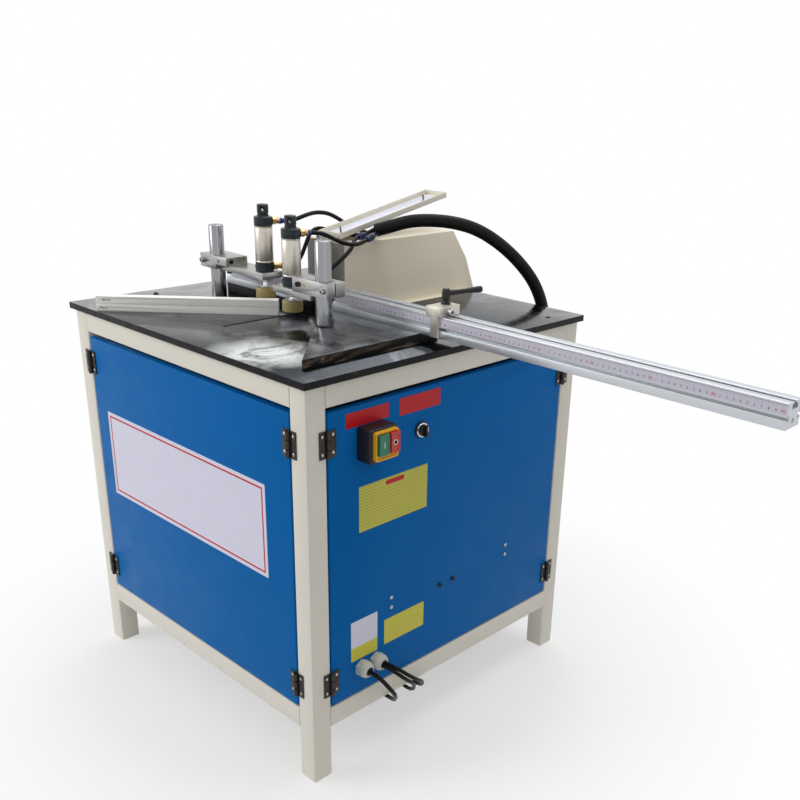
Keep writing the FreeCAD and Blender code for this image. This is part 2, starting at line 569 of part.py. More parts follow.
def clamp_cylinder(side):
    """Barrel, caps, fittings, rod and pad of one clamp cylinder."""
    jaw = (f"{side}_jaw_x", f"{side}_jaw_y")
    base = f"{side}_arm_top"
    nose = "-(arm_thick + nut_height + 1)"
    bore = "rod_radius + rod_fit"
    rim, skin = "barrel_radius + cap_rim", "barrel_radius - barrel_wall"
    low_cap = turned(f"{side}_low_cap_blank", "z", (*jaw, base),
                     [(bore, nose), ("nose_radius", nose), ("nose_radius", "0"), (rim, "0"),
                      (rim, "cap_height"), (bore, "cap_height")])
    high = f"{base} + cap_height + barrel_length"
    high_cap = turned(f"{side}_high_cap_blank", "z", (*jaw, high),
                      [("0", "0"), (rim, "0"), (rim, "cap_height"), ("nipple_radius", "cap_height"),
                       ("nipple_radius", "cap_height + nipple_height - 2"),
                       ("nipple_radius - 2", "cap_height + nipple_height"), ("0", "cap_height + nipple_height")])
    tube = rod(f"{side}_tube_skin", "z", jaw, "barrel_radius", f"{base} + cap_height", high)
    inside = rod(f"{side}_tube_bore", "z", jaw, skin, f"{base} + cap_height - 1", f"{high} + 1")
    node(f"barrel_{side}", cut(f"{side}_tube", tube, inside))

    caps, fittings = [], []
    turn = Rotation(Vector(0, 0, 1), size(f"{side}_fitting_turn")).multiply(ALONG["x"])
    spots = ((low_cap, f"{base} + cap_height/2", "low"), (high_cap, f"{high} + cap_height/2", "high"))
    for blank, level, tag in spots:
        port = doc.addObject("Part::Cylinder", f"{side}_{tag}_port")
        bind(port, "Radius", "port_radius + rod_fit")
        bind(port, "Height", "barrel_radius + 10")
        place(port, (*jaw, level), turn)
        keep = rod(f"{side}_{tag}_core", "z", jaw, "barrel_radius - 6", f"{level} - cap_height", f"{level} + cap_height")
        caps.append(cut(f"{side}_{tag}_cap", blank, cut(f"{side}_{tag}_port_cut", port, keep)))
        shift = "barrel_radius - 5"
        face = "barrel_radius + cap_rim + 0.2"
        tip = "barrel_radius + fitting_reach"
        fittings.append(turned(f"{side}_{tag}_fitting", turn, (*jaw, level),
                               [("0", shift), ("port_radius", shift), ("port_radius", face),
                                ("fitting_radius", face), ("fitting_radius", f"{tip} - 11"),
                                ("fitting_radius - 1", f"{tip} - 10"), ("fitting_radius - 1", f"{tip} - 8"),
                                ("fitting_radius", f"{tip} - 7"), ("fitting_radius", tip), ("0", tip)]))
    node(f"caps_{side}", *caps)
    node(f"fittings_{side}", *fittings)

    pad_low = f"{TABLE_TOP} + clamp_stroke + pad_rest"
    pad_top = f"{pad_low} + pad_height"
    piston = f"{high} - 16"
    shaft = rod(f"{side}_rod_shaft", "z", jaw, "rod_radius", f"{pad_top} - 9", piston)
    disc = rod(f"{side}_piston", "z", jaw, f"{skin} - 0.08", piston, f"{piston} + 10")
    collar = rod(f"{side}_rod_collar", "z", jaw, "rod_radius + 3", pad_top, f"{pad_top} + 2")
    node(f"rod_{side}", fuse(f"{side}_rod_solid", shaft, disc, collar))
    node(f"pad_{side}", turned(f"{side}_pad_turned", "z", (*jaw, pad_low),
                               [("0", "0"), ("pad_radius - 1", "0"), ("pad_radius", "1"),
                                ("pad_radius", "pad_height - 1"), ("pad_radius - 1", "pad_height"),
                                (bore, "pad_height"), (bore, "pad_height - 9.1"), ("0", "pad_height - 9.1")]))


# Blade guard and its flap

def guard_outline(wall):
    """Side view of the guard, set in from the outside by a wall."""
    top = GUARD_TOP
    return [(wall, TABLE_TOP if wall == "0" else f"{TABLE_TOP} - 1"), (wall, f"{top} - {wall}"),
            (f"guard_top_end - {wall}*0.6", f"{top} - {wall}"),
            (f"guard_bend_y - {wall}", f"{top} - guard_bend_drop - {wall}*0.6"),
            (f"guard_foot - {wall}*1.1", TABLE_TOP if wall == "0" else f"{TABLE_TOP} - 1")]


def guard_box():
    """Folded sheet guard over the parked blade, open below and slotted in front."""
    outer = prism("guard_skin", "YZ_Plane", guard_outline("0"), "guard_left", "guard_right")
    inner = prism("guard_space", "YZ_Plane", guard_outline("guard_sheet"),
                  "guard_left + guard_sheet", "guard_right - guard_sheet")
    slot = box("guard_slot_cut", ("blade_plane - guard_slot/2", "blade_plane + guard_slot/2"),
               ("-1", "guard_sheet + 1"), (f"{TABLE_TOP} - 1", f"{TABLE_TOP} + guard_slot_height"))
    flanges = []
    for name, xs in (("guard_flange_left", ("guard_left - guard_flange", "guard_left + guard_sheet")),
                     ("guard_flange_right", ("guard_right - guard_sheet", "guard_right + guard_flange"))):
        flanges.append(box(name, xs, ("0", "table_width/2 - 5"), (TABLE_TOP, f"{TABLE_TOP} + guard_sheet")))
    return node("guard_box", fuse("guard_folded", cut("guard_shell", outer, inner, slot), *flanges))


def knuckle(name, y, z, xs, radius, bore):
    """A rolled hinge eye along X."""
    return cut(name, rod(f"{name}_eye", "x", (y, z), radius, *xs),
               rod(f"{name}_bore", "x", (y, z), bore, f"{xs[0]} - 1", f"{xs[1]} + 1"))


def guard_flap():
    """Channel-shaped flap that lies back on the guard and swings over the slot."""
    half = "flap_width/2"
    skin = box("flap_skin", (f"-{half}", half), ("hinge_knuckle + 1.5", "flap_length + hinge_knuckle + 1.5"),
               ("-flap_sheet", "flap_rim"))
    space = box("flap_space", (f"flap_sheet - {half}", f"{half} - flap_sheet"),
                ("hinge_knuckle + 1.5 + flap_sheet", "flap_length + hinge_knuckle + 1.5 - flap_sheet"),
                ("0", "flap_rim + 1"))
    eye = rod("flap_eye", "x", ("0", "0"), "hinge_knuckle", "-10", "10")
    tab = box("flap_tab", ("-10", "10"), ("0", "hinge_knuckle + 2"), ("-flap_sheet", "0"))
    bore = rod("flap_bore", "x", ("0", "0"), "hinge_pin + hinge_fit", "-11", "11")
    solid = cut("flap_cut", fuse("flap_folded", cut("flap_channel", skin, space), eye, tab), bore)
    place(solid, ("blade_plane", "hinge_y", HINGE_Z), Rotation(Vector(1, 0, 0), size("flap_tilt")))
    return node("guard_flap", solid)


def flap_hinge():
    """Two eyes on the guard's top and the pin through them."""
    pieces = []
    for side, low, high in (("left", "-30", "-10.3"), ("right", "10.3", "30")):
        xs = (f"blade_plane + {low}", f"blade_plane + {high}")
        eye = knuckle(f"hinge_eye_{side}", "hinge_y", HINGE_Z, xs, "hinge_knuckle", "hinge_pin + hinge_fit")
        foot = box(f"hinge_foot_{side}", xs, ("hinge_y - hinge_knuckle", "hinge_y + hinge_knuckle"),
                   (GUARD_TOP, f"{HINGE_Z} - hinge_knuckle + 1"))
        bore = rod(f"hinge_foot_bore_{side}", "x", ("hinge_y", HINGE_Z), "hinge_pin + hinge_fit",
                   f"{xs[0]} - 1", f"{xs[1]} + 1")
        pieces.append(cut(f"hinge_leaf_{side}", fuse(f"hinge_leaf_solid_{side}", eye, foot), bore))
    pieces.append(rod("hinge_pin_rod", "x", ("hinge_y", HINGE_Z), "hinge_pin",
                      "blade_plane - 31", "blade_plane + 31"))
    return node("flap_hinge", *pieces)


# Panels, door and butt hinges

def folded_panel(name, axis, face, inward, spans, zs, holes=(), tabs=()):
    """A sheet panel with its four edges folded inwards, and tabs that reach the rails."""
    deep = f"{face} + ({inward})*panel_depth"
    skin = f"{face} + ({inward})*sheet"
    outer = (face, deep) if inward > 0 else (deep, face)
    space = (skin, f"{deep} + 1") if inward > 0 else (f"{deep} - 1", skin)
    inner_span = (f"{spans[0]} + sheet", f"{spans[1]} - sheet")
    inner_z = (f"{zs[0]} + sheet", f"{zs[1]} - sheet")
    if axis == "x":
        blank, hollow = box(f"{name}_blank", outer, spans, zs), box(f"{name}_hollow", space, inner_span, inner_z)
    else:
        blank, hollow = box(f"{name}_blank", spans, outer, zs), box(f"{name}_hollow", inner_span, space, inner_z)
    panel = cut(name, blank, hollow, *holes)
    if not tabs:
        return panel
    thick = (face, skin) if inward > 0 else (skin, face)
    strips = []
    for i, level in enumerate(tabs):
        for side in ("-", "+"):
            along = (f"{side}panel_tab_place - panel_tab/2", f"{side}panel_tab_place + panel_tab/2")
            xs, ys = (thick, along) if axis == "x" else (along, thick)
            strips.append(box(f"{name}_tab_{i}{'np'[side == '+']}", xs, ys, level))
    return fuse(f"{name}_tabbed", panel, *strips)


def panels():
    """Hinged sign door, switch panel with its holes, left and rear panels."""
    zs = (PANEL_LOW, PANEL_HIGH)
    span_x = (f"-({FRAME_X} - tube_side - panel_gap)", f"{FRAME_X} - tube_side - panel_gap")
    span_y = (f"-({FRAME_Y} - tube_side - panel_gap)", f"{FRAME_Y} - tube_side - panel_gap")
    node("sign_door", folded_panel("sign_door_sheet", "y", f"-({FRAME_Y})", 1, span_x, zs))
    through = (f"{FRAME_X} - sheet - 1", f"{FRAME_X} + 1")
    holes = [rod("selector_hole_cut", "x", ("selector_y", "selector_height"), "selector_hole + 0.1", *through)]
    for i, y in enumerate(("gland_one", "gland_two")):
        holes.append(rod(f"gland_hole_{i}", "x", (y, "gland_height"), "gland_thread + 0.1", *through))
    node("switch_panel", folded_panel("switch_sheet", "x", FRAME_X, -1, span_y, zs, holes))
    tabs = ((f"{PANEL_HIGH} - 1", "stand_height - tube_side"),
            ("low_rail_height + tube_side", f"{PANEL_LOW} + 1"))
    left = folded_panel("left_sheet", "x", f"-({FRAME_X})", 1, span_y, zs, tabs=tabs)
    back = folded_panel("rear_sheet", "y", FRAME_Y, -1, span_x, zs,
                        [rod("hose_entry", "y", ("hose_x", "hose_end - elbow_drop"), "hose_radius - 3",
                             f"{FRAME_Y} - sheet - 1", f"{FRAME_Y} + 1")], tabs)
    node("side_panels", left, back)


def butt_hinges():
    """Four hinges on the sign door and four on the switch panel."""
    door_leaves, frame_leaves = [], []
    outer, middle = ((0, 0.32), (0.68, 1)), ((0.34, 0.66),)
    edge_x = f"{FRAME_X} - tube_side - panel_gap/2"
    edge_y = f"{FRAME_Y} - tube_side - panel_gap/2"
    proud_y = f"-({FRAME_Y}) - butt_knuckle"
    proud_x = f"{FRAME_X} + butt_knuckle"
    for level in ("butt_low", "butt_high"):
        for side, sign in (("left", -1), ("right", 1)):
            where = (f"{sign}*({edge_x})", proud_y, level)
            name = f"door_{level}_{side}"
            inner = mirrored_leaf(f"{name}_door", where, "door", sign, middle)
            door_leaves.append(inner)
            frame_leaves.append(mirrored_leaf(f"{name}_post", where, "post", sign, outer))
            if side == "left":
                frame_leaves.append(rod(f"{name}_pin", "z", (where[0], where[1]), "butt_pin",
                                        f"{level} - 1", f"{level} + butt_height + 1"))
        for side, sign in (("near", -1), ("far", 1)):
            where = (proud_x, f"{sign}*({edge_y})", level)
            name = f"panel_{level}_{side}"
            frame_leaves.append(panel_leaf(f"{name}_panel", where, "panel", sign, middle))
            frame_leaves.append(panel_leaf(f"{name}_post", where, "post", sign, outer))
            frame_leaves.append(rod(f"{name}_pin", "z", (where[0], where[1]), "butt_pin",
                                    f"{level} - 1", f"{level} + butt_height + 1"))
    node("door_hinge_leaves", *door_leaves)
    node("frame_hinge_leaves", *frame_leaves)


def mirrored_leaf(name, where, kind, sign, eyes):
    """A leaf on the front of the cabinet, its plate towards the door or the post."""
    towards_plus_x = (kind == "door") == (sign < 0)
    return leaf_solid(name, where, "x", towards_plus_x, "+", eyes)


def panel_leaf(name, where, kind, sign, eyes):
    """A leaf on the right side of the cabinet, its plate towards the panel or the post."""
    towards_plus_y = (kind == "panel") == (sign < 0)
    return leaf_solid(name, where, "y", towards_plus_y, "-", eyes)


def leaf_solid(name, where, along, positive, inward, eyes):
    """Plate and eyes of one leaf, its plate lying on the cabinet's face."""
    x, y, low = where
    reach = "+" if positive else "-"
    cross, own = (y, x) if along == "x" else (x, y)
    face = (f"{cross} {inward} (butt_knuckle - butt_thick)", f"{cross} {inward} butt_knuckle")
    faces = face if inward == "+" else face[::-1]

    def block(tag, start, stop, zs):
        limits = (f"{own} {reach} {start}", f"{own} {reach} {stop}")
        limits = limits if positive else limits[::-1]
        xs, ys = (limits, faces) if along == "x" else (faces, limits)
        return box(f"{name}_{tag}", xs, ys, zs)

    parts = [block("plate", "(butt_knuckle + 0.4)", "butt_width", (low, f"{low} + butt_height"))]
    for i, (start, stop) in enumerate(eyes):
        zs = (f"{low} + butt_height*{start} + 0.3", f"{low} + butt_height*{stop} - 0.3")
        parts.append(rod(f"{name}_eye_{i}", "z", (x, y), "butt_knuckle", *zs))
        parts.append(block(f"tab_{i}", "0", "(butt_knuckle + 1)", zs))
    bore = rod(f"{name}_bore", "z", (x, y), "butt_pin + hinge_fit", f"{low} - 1", f"{low} + butt_height + 1")
    return cut(name, fuse(f"{name}_solid", *parts), bore)


# Switches and glands

def switches():
    """Push-button box with its two buttons, and the selector."""
    front = f"{FRAME_X} + box_depth"
    zs = ("button_low - 0.4", "button_high + 0.4")
    shell = box("switch_box_blank", (FRAME_X, front), ("box_near", "box_far"), ("box_low", "box_high"))
    hollow = box("switch_box_space", (f"{FRAME_X} - 1", f"{front} - 3"), ("box_near + 3", "box_far - 3"),
                 ("box_low + 3", "box_high - 3"))
    windows = [box(f"{side}_window", (f"{front} - 4", f"{front} + 1"), (f"{side}_near - 0.4", f"{side}_far + 0.4"), zs)
               for side in ("green", "red")]
    node("switch_box", cut("switch_box_cut", shell, hollow, *windows))
    for side in ("green", "red"):
        cap = box(f"{side}_cap", (f"{front} - 5", f"{front} + button_rise"), (f"{side}_near", f"{side}_far"),
                  ("button_low", "button_high"))
        stem = rod(f"{side}_stem", "x", (f"({side}_near + {side}_far)/2", "(button_low + button_high)/2"), "4",
                   f"{FRAME_X} + button_travel + 1", f"{front} - 5")
        node(f"{side}_button", fuse(f"{side}_button_solid", cap, stem))
    at = ("selector_y", "selector_height")
    node("selector_bezel", turned("bezel_turned", "x", (FRAME_X, *at),
                                  [("selector_hole - 3", "-28"), ("selector_hole", "-28"), ("selector_hole", "0"),
                                   ("bezel_radius", "0"), ("bezel_radius", "bezel_depth - 2"),
                                   ("bezel_radius - 2", "bezel_depth"), ("selector_hole - 3", "bezel_depth")]))
    drum = turned("knob_drum", "x", (FRAME_X, *at),
                  [("0", "-26"), ("selector_hole - 3.05", "-26"), ("selector_hole - 3.05", "bezel_depth + 0.3"),
                   ("knob_radius", "bezel_depth + 0.3"), ("knob_radius", "bezel_depth + 5"), ("0", "bezel_depth + 5")])
    grip = box("knob_grip", (f"{FRAME_X} + bezel_depth + 4", f"{FRAME_X} + bezel_depth + knob_depth - 5"),
               ("selector_y - 3.2", "selector_y + 3.2"),
               ("selector_height - knob_radius + 1", "selector_height + knob_radius - 1"))
    node("selector_knob", fuse("knob_solid", drum, grip))


def cable_glands():
    """Two domed glands with hexagon necks."""
    glands = []
    for i, y in enumerate(("gland_one", "gland_two")):
        glands.append(turned(f"gland_{i}", "x", (FRAME_X, y, "gland_height"),
                             [("0", "-14"), ("gland_thread", "-14"), ("gland_thread", "0"),
                              ("gland_radius", "0"), ("gland_radius", "gland_reach*0.55"),
                              ("gland_radius - 1.5", "gland_reach*0.75"), ("gland_radius - 5", "gland_reach - 1"),
                              ("gland_radius - 7", "gland_reach"), ("0", "gland_reach")]))
    return node("cable_glands", *glands)


# Saw head: carriage, spindle, blade, motor, belt and feed cylinder

RAIL_LOW = "cross_rail_height + 2*tube_side"
BLOCK_LOW = f"{RAIL_LOW} + block_rise"
CARRIAGE_LOW = f"{BLOCK_LOW} + block_tall"
CARRIAGE_TOP = f"{CARRIAGE_LOW} + carriage_thick"


def slides():
    """Two guide rails on the beams and four blocks that run on them."""
    rails, blocks = [], []
    for name in ("beam_near", "beam_far"):
        rails.append(box(f"{name}_rail", (f"{name} - rail_width/2", f"{name} + rail_width/2"),
                         (f"-({FRAME_Y} - tube_side)", f"{FRAME_Y} - tube_side"),
                         (RAIL_LOW, f"{RAIL_LOW} + rail_height")))
        for tag, y in (("front", "blade_rest - carriage_half + 5"),
                       ("back", "blade_rest + carriage_half - 5 - block_long")):
            ys = (y, f"{y} + block_long")
            solid = box(f"{name}_{tag}_blank", (f"{name} - block_wide/2", f"{name} + block_wide/2"), ys,
                        (BLOCK_LOW, CARRIAGE_LOW))
            groove = box(f"{name}_{tag}_groove",
                         (f"{name} - rail_width/2 - slide_fit", f"{name} + rail_width/2 + slide_fit"),
                         (f"{y} - 1", f"{ys[1]} + 1"),
                         (f"{BLOCK_LOW} - 1", f"{RAIL_LOW} + rail_height + slide_fit"))
            blocks.append(cut(f"{name}_{tag}_block", solid, groove))
    node("slide_rails", *rails)
    node("slide_blocks", *blocks)


def carriage():
    """Plate on the blocks, with hangers for the motor and a lug for the feed rod."""
    plate = box("carriage_base", ("carriage_near", "carriage_far"),
                ("blade_rest - carriage_half", "blade_rest + carriage_half"), (CARRIAGE_LOW, CARRIAGE_TOP))
    foot_top = "motor_height + motor_radius + motor_foot/2"
    hangers = [box(f"{name}_plate", (name, f"{name} + hanger_thick"), ("blade_rest - 50", "blade_rest + 50"),
                   (foot_top, CARRIAGE_LOW)) for name in ("hanger_near", "hanger_far")]
    lug = box("feed_lug", ("feed_x - 15", "feed_x + 15"), ("lug_y", "lug_y + lug_thick"),
              ("feed_height - 12", CARRIAGE_LOW))
    eye = rod("feed_lug_hole", "y", ("feed_x", "feed_height"), "4.05", "lug_y - 1", "lug_y + lug_thick + 1")
    node("carriage_plate", cut("carriage_solid", fuse("carriage_welded", plate, *hangers, lug), eye))

    base = box("housing_base", ("housing_near", "housing_far"), ("blade_rest - 40", "blade_rest + 40"),
               (CARRIAGE_TOP, "blade_height"))
    drum = rod("housing_drum", "x", ("blade_rest", "blade_height"), "housing_radius", "housing_near", "housing_far")
    bore = rod("housing_bore", "x", ("blade_rest", "blade_height"), "arbor_radius + rod_fit",
               "housing_near - 1", "housing_far + 1")
    node("spindle_housing", cut("housing_cut", fuse("housing_solid", base, drum), bore))


def spindle():
    """Blade, arbor with its flanges, nut and pulley."""
    centre = ("blade_rest", "blade_height")
    node("blade", saw_blade())
    left, right = "blade_plane - blade_thick/2", "blade_plane + blade_thick/2"
    shaft = rod("arbor_shaft", "x", centre, "arbor_radius", f"{left} - 20", "housing_far + 6")
    inner = rod("arbor_collar", "x", centre, "flange_radius", f"{right} + 0.05", f"{right} + 8")
    solid = fuse("arbor_solid", shaft, inner)
    washer = ring("outer_flange", centre, "flange_radius", f"{left} - 8", f"{left} - 0.05")
    nut = ring("arbor_nut", centre, "arbor_radius + 9", f"{left} - 20", f"{left} - 8.1")
    pulley = ring("spindle_pulley", centre, "pulley_radius", "pulley_near", "pulley_near + pulley_width")
    node("arbor", solid, washer, nut, pulley)


def ring(name, centre, radius, low, high):
    """A disc along X, bored to sit on the arbor."""
    return cut(name, rod(f"{name}_disc", "x", centre, radius, low, high),
               rod(f"{name}_bore", "x", centre, "arbor_radius + rod_fit", f"{low} - 1", f"{high} + 1"))


def saw_blade():
    """Toothed disc: a bored round plate with gullets set out round its rim."""
    body = doc.addObject("PartDesign::Body", "saw_disc")
    sketch = body.newObject("Sketcher::SketchObject", "saw_disc_outline")
    sketch.AttachmentSupport = [(plane_of(body, "YZ_Plane"), "")]
    sketch.MapMode = "FlatFace"
    for radius in ("blade_radius", "blade_bore"):
        at = sketch.addGeometry(Part.Circle(Vector(), Vector(0, 0, 1), size(radius)), False)
        sketch.addConstraint(Sketcher.Constraint("Coincident", at, 3, -1, 1))
        limit = sketch.addConstraint(Sketcher.Constraint("Radius", at, size(radius)))
        bind(sketch, f"Constraints[{limit}]", radius)
    pad = body.newObject("PartDesign::Pad", "saw_disc_pad")
    pad.Profile = sketch
    pad.Midplane = True
    bind(pad, "Length", "blade_thick")
    gullet = body.newObject("Sketcher::SketchObject", "gullet_outline")
    gullet.AttachmentSupport = [(plane_of(body, "YZ_Plane"), "")]
    gullet.MapMode = "FlatFace"
    width = "(blade_radius*2.7/teeth)"
    polygon(gullet, [(f"{width}*0.05", "blade_radius + 2"), (f"{width}*0.12", "blade_radius - tooth_depth"),
                     (f"{width}*0.8", "blade_radius - tooth_depth*0.7"), (f"{width}*1.75", "blade_radius + 2")])
    pocket = body.newObject("PartDesign::Pocket", "gullet_cut")
    pocket.Profile = gullet
    pocket.Midplane = True
    bind(pocket, "Length", "blade_thick + 2")
    pattern = body.newObject("PartDesign::PolarPattern", "gullets")
    pattern.Originals = [pocket]
    pattern.Axis = (sketch, ["N_Axis"])
    pattern.Angle = 360
    bind(pattern, "Occurrences", "teeth")
    body.Tip = pattern
    for piece in (sketch, gullet):
        piece.Visibility = False
    return place(body, ("blade_plane", "blade_rest", "blade_height"))


def motor():
    """Motor with its foot, and the pulley on its shaft."""
    centre = ("blade_rest", "motor_height")
    case = turned("motor_case", "x", ("motor_near", *centre),
                  [("0", "0"), ("motor_radius - 12", "0"), ("motor_radius", "14"),
                   ("motor_radius", "motor_far - motor_near - 40"),
                   ("motor_radius - 4", "motor_far - motor_near - 38"),
                   ("motor_radius - 4", "motor_far - motor_near - 2"), ("0", "motor_far - motor_near")])
    foot_top = "motor_height + motor_radius + motor_foot/2"
    foot = box("motor_foot_pad", ("hanger_near - 5", "hanger_far + hanger_thick + 5"),
               ("blade_rest - 60", "blade_rest + 60"), (f"{foot_top} - motor_foot", foot_top))
    junction = box("motor_junction", ("motor_far - 90", "motor_far - 30"), ("blade_rest - motor_radius - 28", "blade_rest - 30"),
                   ("motor_height - 35", "motor_height + 35"))
    shaft_hole = rod("motor_shaft_hole", "x", centre, "arbor_radius + 1", "motor_near - 1", "motor_near + 30")
    node("motor", cut("motor_solid", fuse("motor_welded", case, foot, junction), shaft_hole))
    rotor = rod("motor_shaft", "x", centre, "9", "pulley_near - 2", "motor_near + 28")
    disc = rod("motor_pulley_disc", "x", centre, "motor_pulley_radius", "pulley_near", "pulley_near + pulley_width")
    node("motor_pulley", fuse("motor_pulley_solid", rotor, disc))


def belt():
    """Flat loop round the two pulleys."""
    y, low, high = size("blade_rest"), size("motor_height"), size("blade_height")
    gap = 0.3
    width = size("pulley_width") - 2
    start = size("pulley_near") + 1

    def loop(extra):
        r1, r2 = size("motor_pulley_radius") + gap + extra, size("pulley_radius") + gap + extra
        lean = math.asin((r2 - r1) / (high - low))
        side = Vector(0, math.cos(lean), -math.sin(lean))
        other = Vector(0, -math.cos(lean), -math.sin(lean))
        a, b = Vector(start, y, low), Vector(start, y, high)
        edges = [Part.LineSegment(a + side * r1, b + side * r2).toShape(),
                 Part.Arc(b + side * r2, b + Vector(0, 0, r2), b + other * r2).toShape(),
                 Part.LineSegment(b + other * r2, a + other * r1).toShape(),
                 Part.Arc(a + other * r1, a - Vector(0, 0, r1), a + side * r1).toShape()]
        return Part.Face(Part.Wire(edges)).extrude(Vector(width, 0, 0))

    return node("drive_belt", feature("belt_loop", loop(size("belt_thick")).cut(loop(0))))


def feed_cylinder():
    """Feed cylinder on the front cross rail, its rod fixed to the carriage's lug."""
    at = ("feed_x", "feed_height")
    back = "feed_front + feed_stroke + feed_spare"
    skin = rod("feed_skin", "y", at, "feed_radius", "feed_front", back)
    bore = rod("feed_bore", "y", at, "feed_radius - 2.5", "feed_front + 12", f"{back} - 12")
    gland = rod("feed_gland", "y", at, "feed_rod_radius + rod_fit", f"{back} - 13", f"{back} + 1")
    bracket = box("feed_bracket", ("feed_x - 20", "feed_x + 20"), ("feed_front - 6", "feed_front"),
                  ("cross_rail_height + tube_side", "feed_height + feed_radius"))
    node("feed_barrel", fuse("feed_fixed", cut("feed_tube", skin, bore, gland), bracket))
    shaft = rod("feed_shaft", "y", at, "feed_rod_radius", f"{back} - 22", "lug_y")
    tip = rod("feed_tip", "y", at, "4", "lug_y", "lug_y + lug_thick + 8")
    piston = rod("feed_piston", "y", at, "feed_radius - 2.6", f"{back} - 30", f"{back} - 22")
    node("feed_rod", fuse("feed_rod_solid", shaft, tip, piston))


def control_gear():
    """Wiring plate with a contactor, a relay and an air valve block behind the switch panel."""
    plate_x = f"{FRAME_X} - 22"
    plate = box("gear_plate", (f"{plate_x} - 3", plate_x), ("-290", "-40"), ("240", "440"))
    posts = [rod(f"gear_post_{i}{j}", "x", (y, z), "4", plate_x, f"{FRAME_X} - sheet")
             for i, y in enumerate(("-280", "-50")) for j, z in enumerate(("250", "430"))]
    gear = [box(f"gear_{tag}", (f"{plate_x} - 3 - {deep}", f"{plate_x} - 3"), ys, zs)
            for tag, deep, ys, zs in (("contactor", "50", ("-275", "-225"), ("340", "420")),
                                      ("relay", "40", ("-210", "-175"), ("345", "415")),
                                      ("valves", "35", ("-150", "-60"), ("330", "400")),
                                      ("terminals", "38", ("-115", "-50"), ("265", "290")))]
    return node("control_gear", fuse("gear_backplate", plate, *posts), *gear)


# Hose, tubes and cords, each a route of hand-chosen points

# The air routes are measured up from the table's top
TIP_GAP = 0.3
HOSE_ROUTE = [(50, 79.5, 149.7), (72.4, 94.1, 158.1), (98, 124, 169.5), (126, 152, 172), (154, 184, 169),
              (180, 220, 158), (203, 262, 132), (222, 310, 91), (237, 350, 43), (244.5, 374, -12),
              (245, 378, -62), (245, 378, -112)]
LEFT_HIGH = [(-40, -24, 175), (-43, 6, 179), (-45, 38, 175), (-47, 66, 163), (-48, 89, 149),
             (-38, 108, 138.5), (-15, 113, 135), (9, 106, 136), (29, 94, 143.5)]
LEFT_LOW = [(-41, -42, 89.5), (-42, -31, 100), (-44, -21, 115), (-45.5, -12, 130), (-48, -1, 142.5),
            (-49, 15, 147.5), (-49, 32, 145), (-46, 48, 139.5), (-33, 60, 135.3), (-15, 65, 135),
            (4, 67, 136), (26, 71.5, 140)]
RIGHT_HIGH = [(86, -72, 157), (85.5, -50, 146.5), (84, -28, 138.6), (84, -8, 135), (81, 13, 135.5)]
RIGHT_LOW = [(86.5, -77, 86), (86, -64, 99), (87.4, -48, 108.7), (86.4, -30, 118.6), (78.5, -10, 127),
             (66.5, 6, 134), (57, 17, 139)]
UNION_HIGH = ((78.1, 30, 140.2), (74.5, 50, 145.3))
UNION_LOW = ((52.8, 30, 141.6), (48.1, 51, 142.9))
STUB_HIGH = [(64.5, 63, 146)]
STUB_LOW = [(49.5, 63, 148)]


def over_table(points):
    """Points of an air route raised to where the table's top is."""
    top = number(TABLE_TOP)
    return [(x, y, z + top) for x, y, z in points]


def mouth_spots(depth):
    """Four places side by side in the hose's mouth, a little inside it."""
    mouth, onward = (Vector(*point) for point in over_table(HOSE_ROUTE[:2]))
    axis = (onward - mouth).normalize()
    across = Vector(axis.y, -axis.x, 0).normalize()
    up = across.cross(axis).normalize()
    step = size("tube_radius") + 0.7
    inside = mouth + axis * depth
    return [inside + across * (a * step) + up * (b * step) for a, b in ((-1, 1), (-1, -1), (1, -1), (1, 1))]


def spot(point):
    """A point as three rounded coordinates."""
    return (round(point.x, 2), round(point.y, 2), round(point.z, 2))


def fitting_exit(side, level, run):
    """The tip of a fitting, and the end of a tube's first straight run out of it."""
    turn = math.radians(size(f"{side}_fitting_turn"))
    way = Vector(math.cos(turn), math.sin(turn), 0)
    jaw = Vector(size(f"{side}_jaw_x"), size(f"{side}_jaw_y"), 0)
    height = size(f"{side}_arm_top") + size("cap_height") / 2
    if level == "high":
        height += size("cap_height") + size("barrel_length")
    tip = jaw + way * (size("barrel_radius") + size("fitting_reach")) + Vector(0, 0, height)
    return [spot(tip + way * TIP_GAP), spot(tip + way * run)]


def air_tubes():
    """Two tubes from each clamp cylinder to the mouth of the hose."""
    spots = [spot(p) for p in mouth_spots(5)]
    radius = size("tube_radius")
    left_high = fitting_exit("left", "high", 18.5) + over_table(LEFT_HIGH) + [spots[0]]
    left_low = fitting_exit("left", "low", 14) + over_table(LEFT_LOW) + [spots[1]]
    node("air_tubes_left", cord("left_high_tube", left_high, radius), cord("left_low_tube", left_low, radius))
    right_high = fitting_exit("right", "high", 14) + over_table([*RIGHT_HIGH, UNION_HIGH[0]])
    right_low = fitting_exit("right", "low", 14) + over_table([*RIGHT_LOW, UNION_LOW[0]])
    node("air_tubes_right", cord("right_high_tube", right_high, radius), cord("right_low_tube", right_low, radius))


def hose():
    """Black hose that bundles the air tubes and leads them behind the cabinet."""
    node("hose_sleeve", cord("hose_tube", over_table(HOSE_ROUTE), size("hose_radius")))


def union(name, ends, spot_in_mouth, knee):
    """Straight push-in union on a tube, and the short stub from it into the hose."""
    near, far = (Vector(*end) for end in over_table(ends))
    length = (far - near).Length
    body = turned(name, Rotation(Vector(0, 0, 1), far - near), tuple(str(v) for v in near),
                  [("0", "0"), ("ring_radius", "0"), ("ring_radius", "3"), ("union_radius", "3.5"),
                   ("union_radius", f"{length} - 3.5"), ("ring_radius", f"{length} - 3"),
                   ("ring_radius", str(length)), ("0", str(length))])
    return body, cord(f"{name}_stub", over_table([ends[1], *knee]) + [spot_in_mouth], size("tube_radius"))


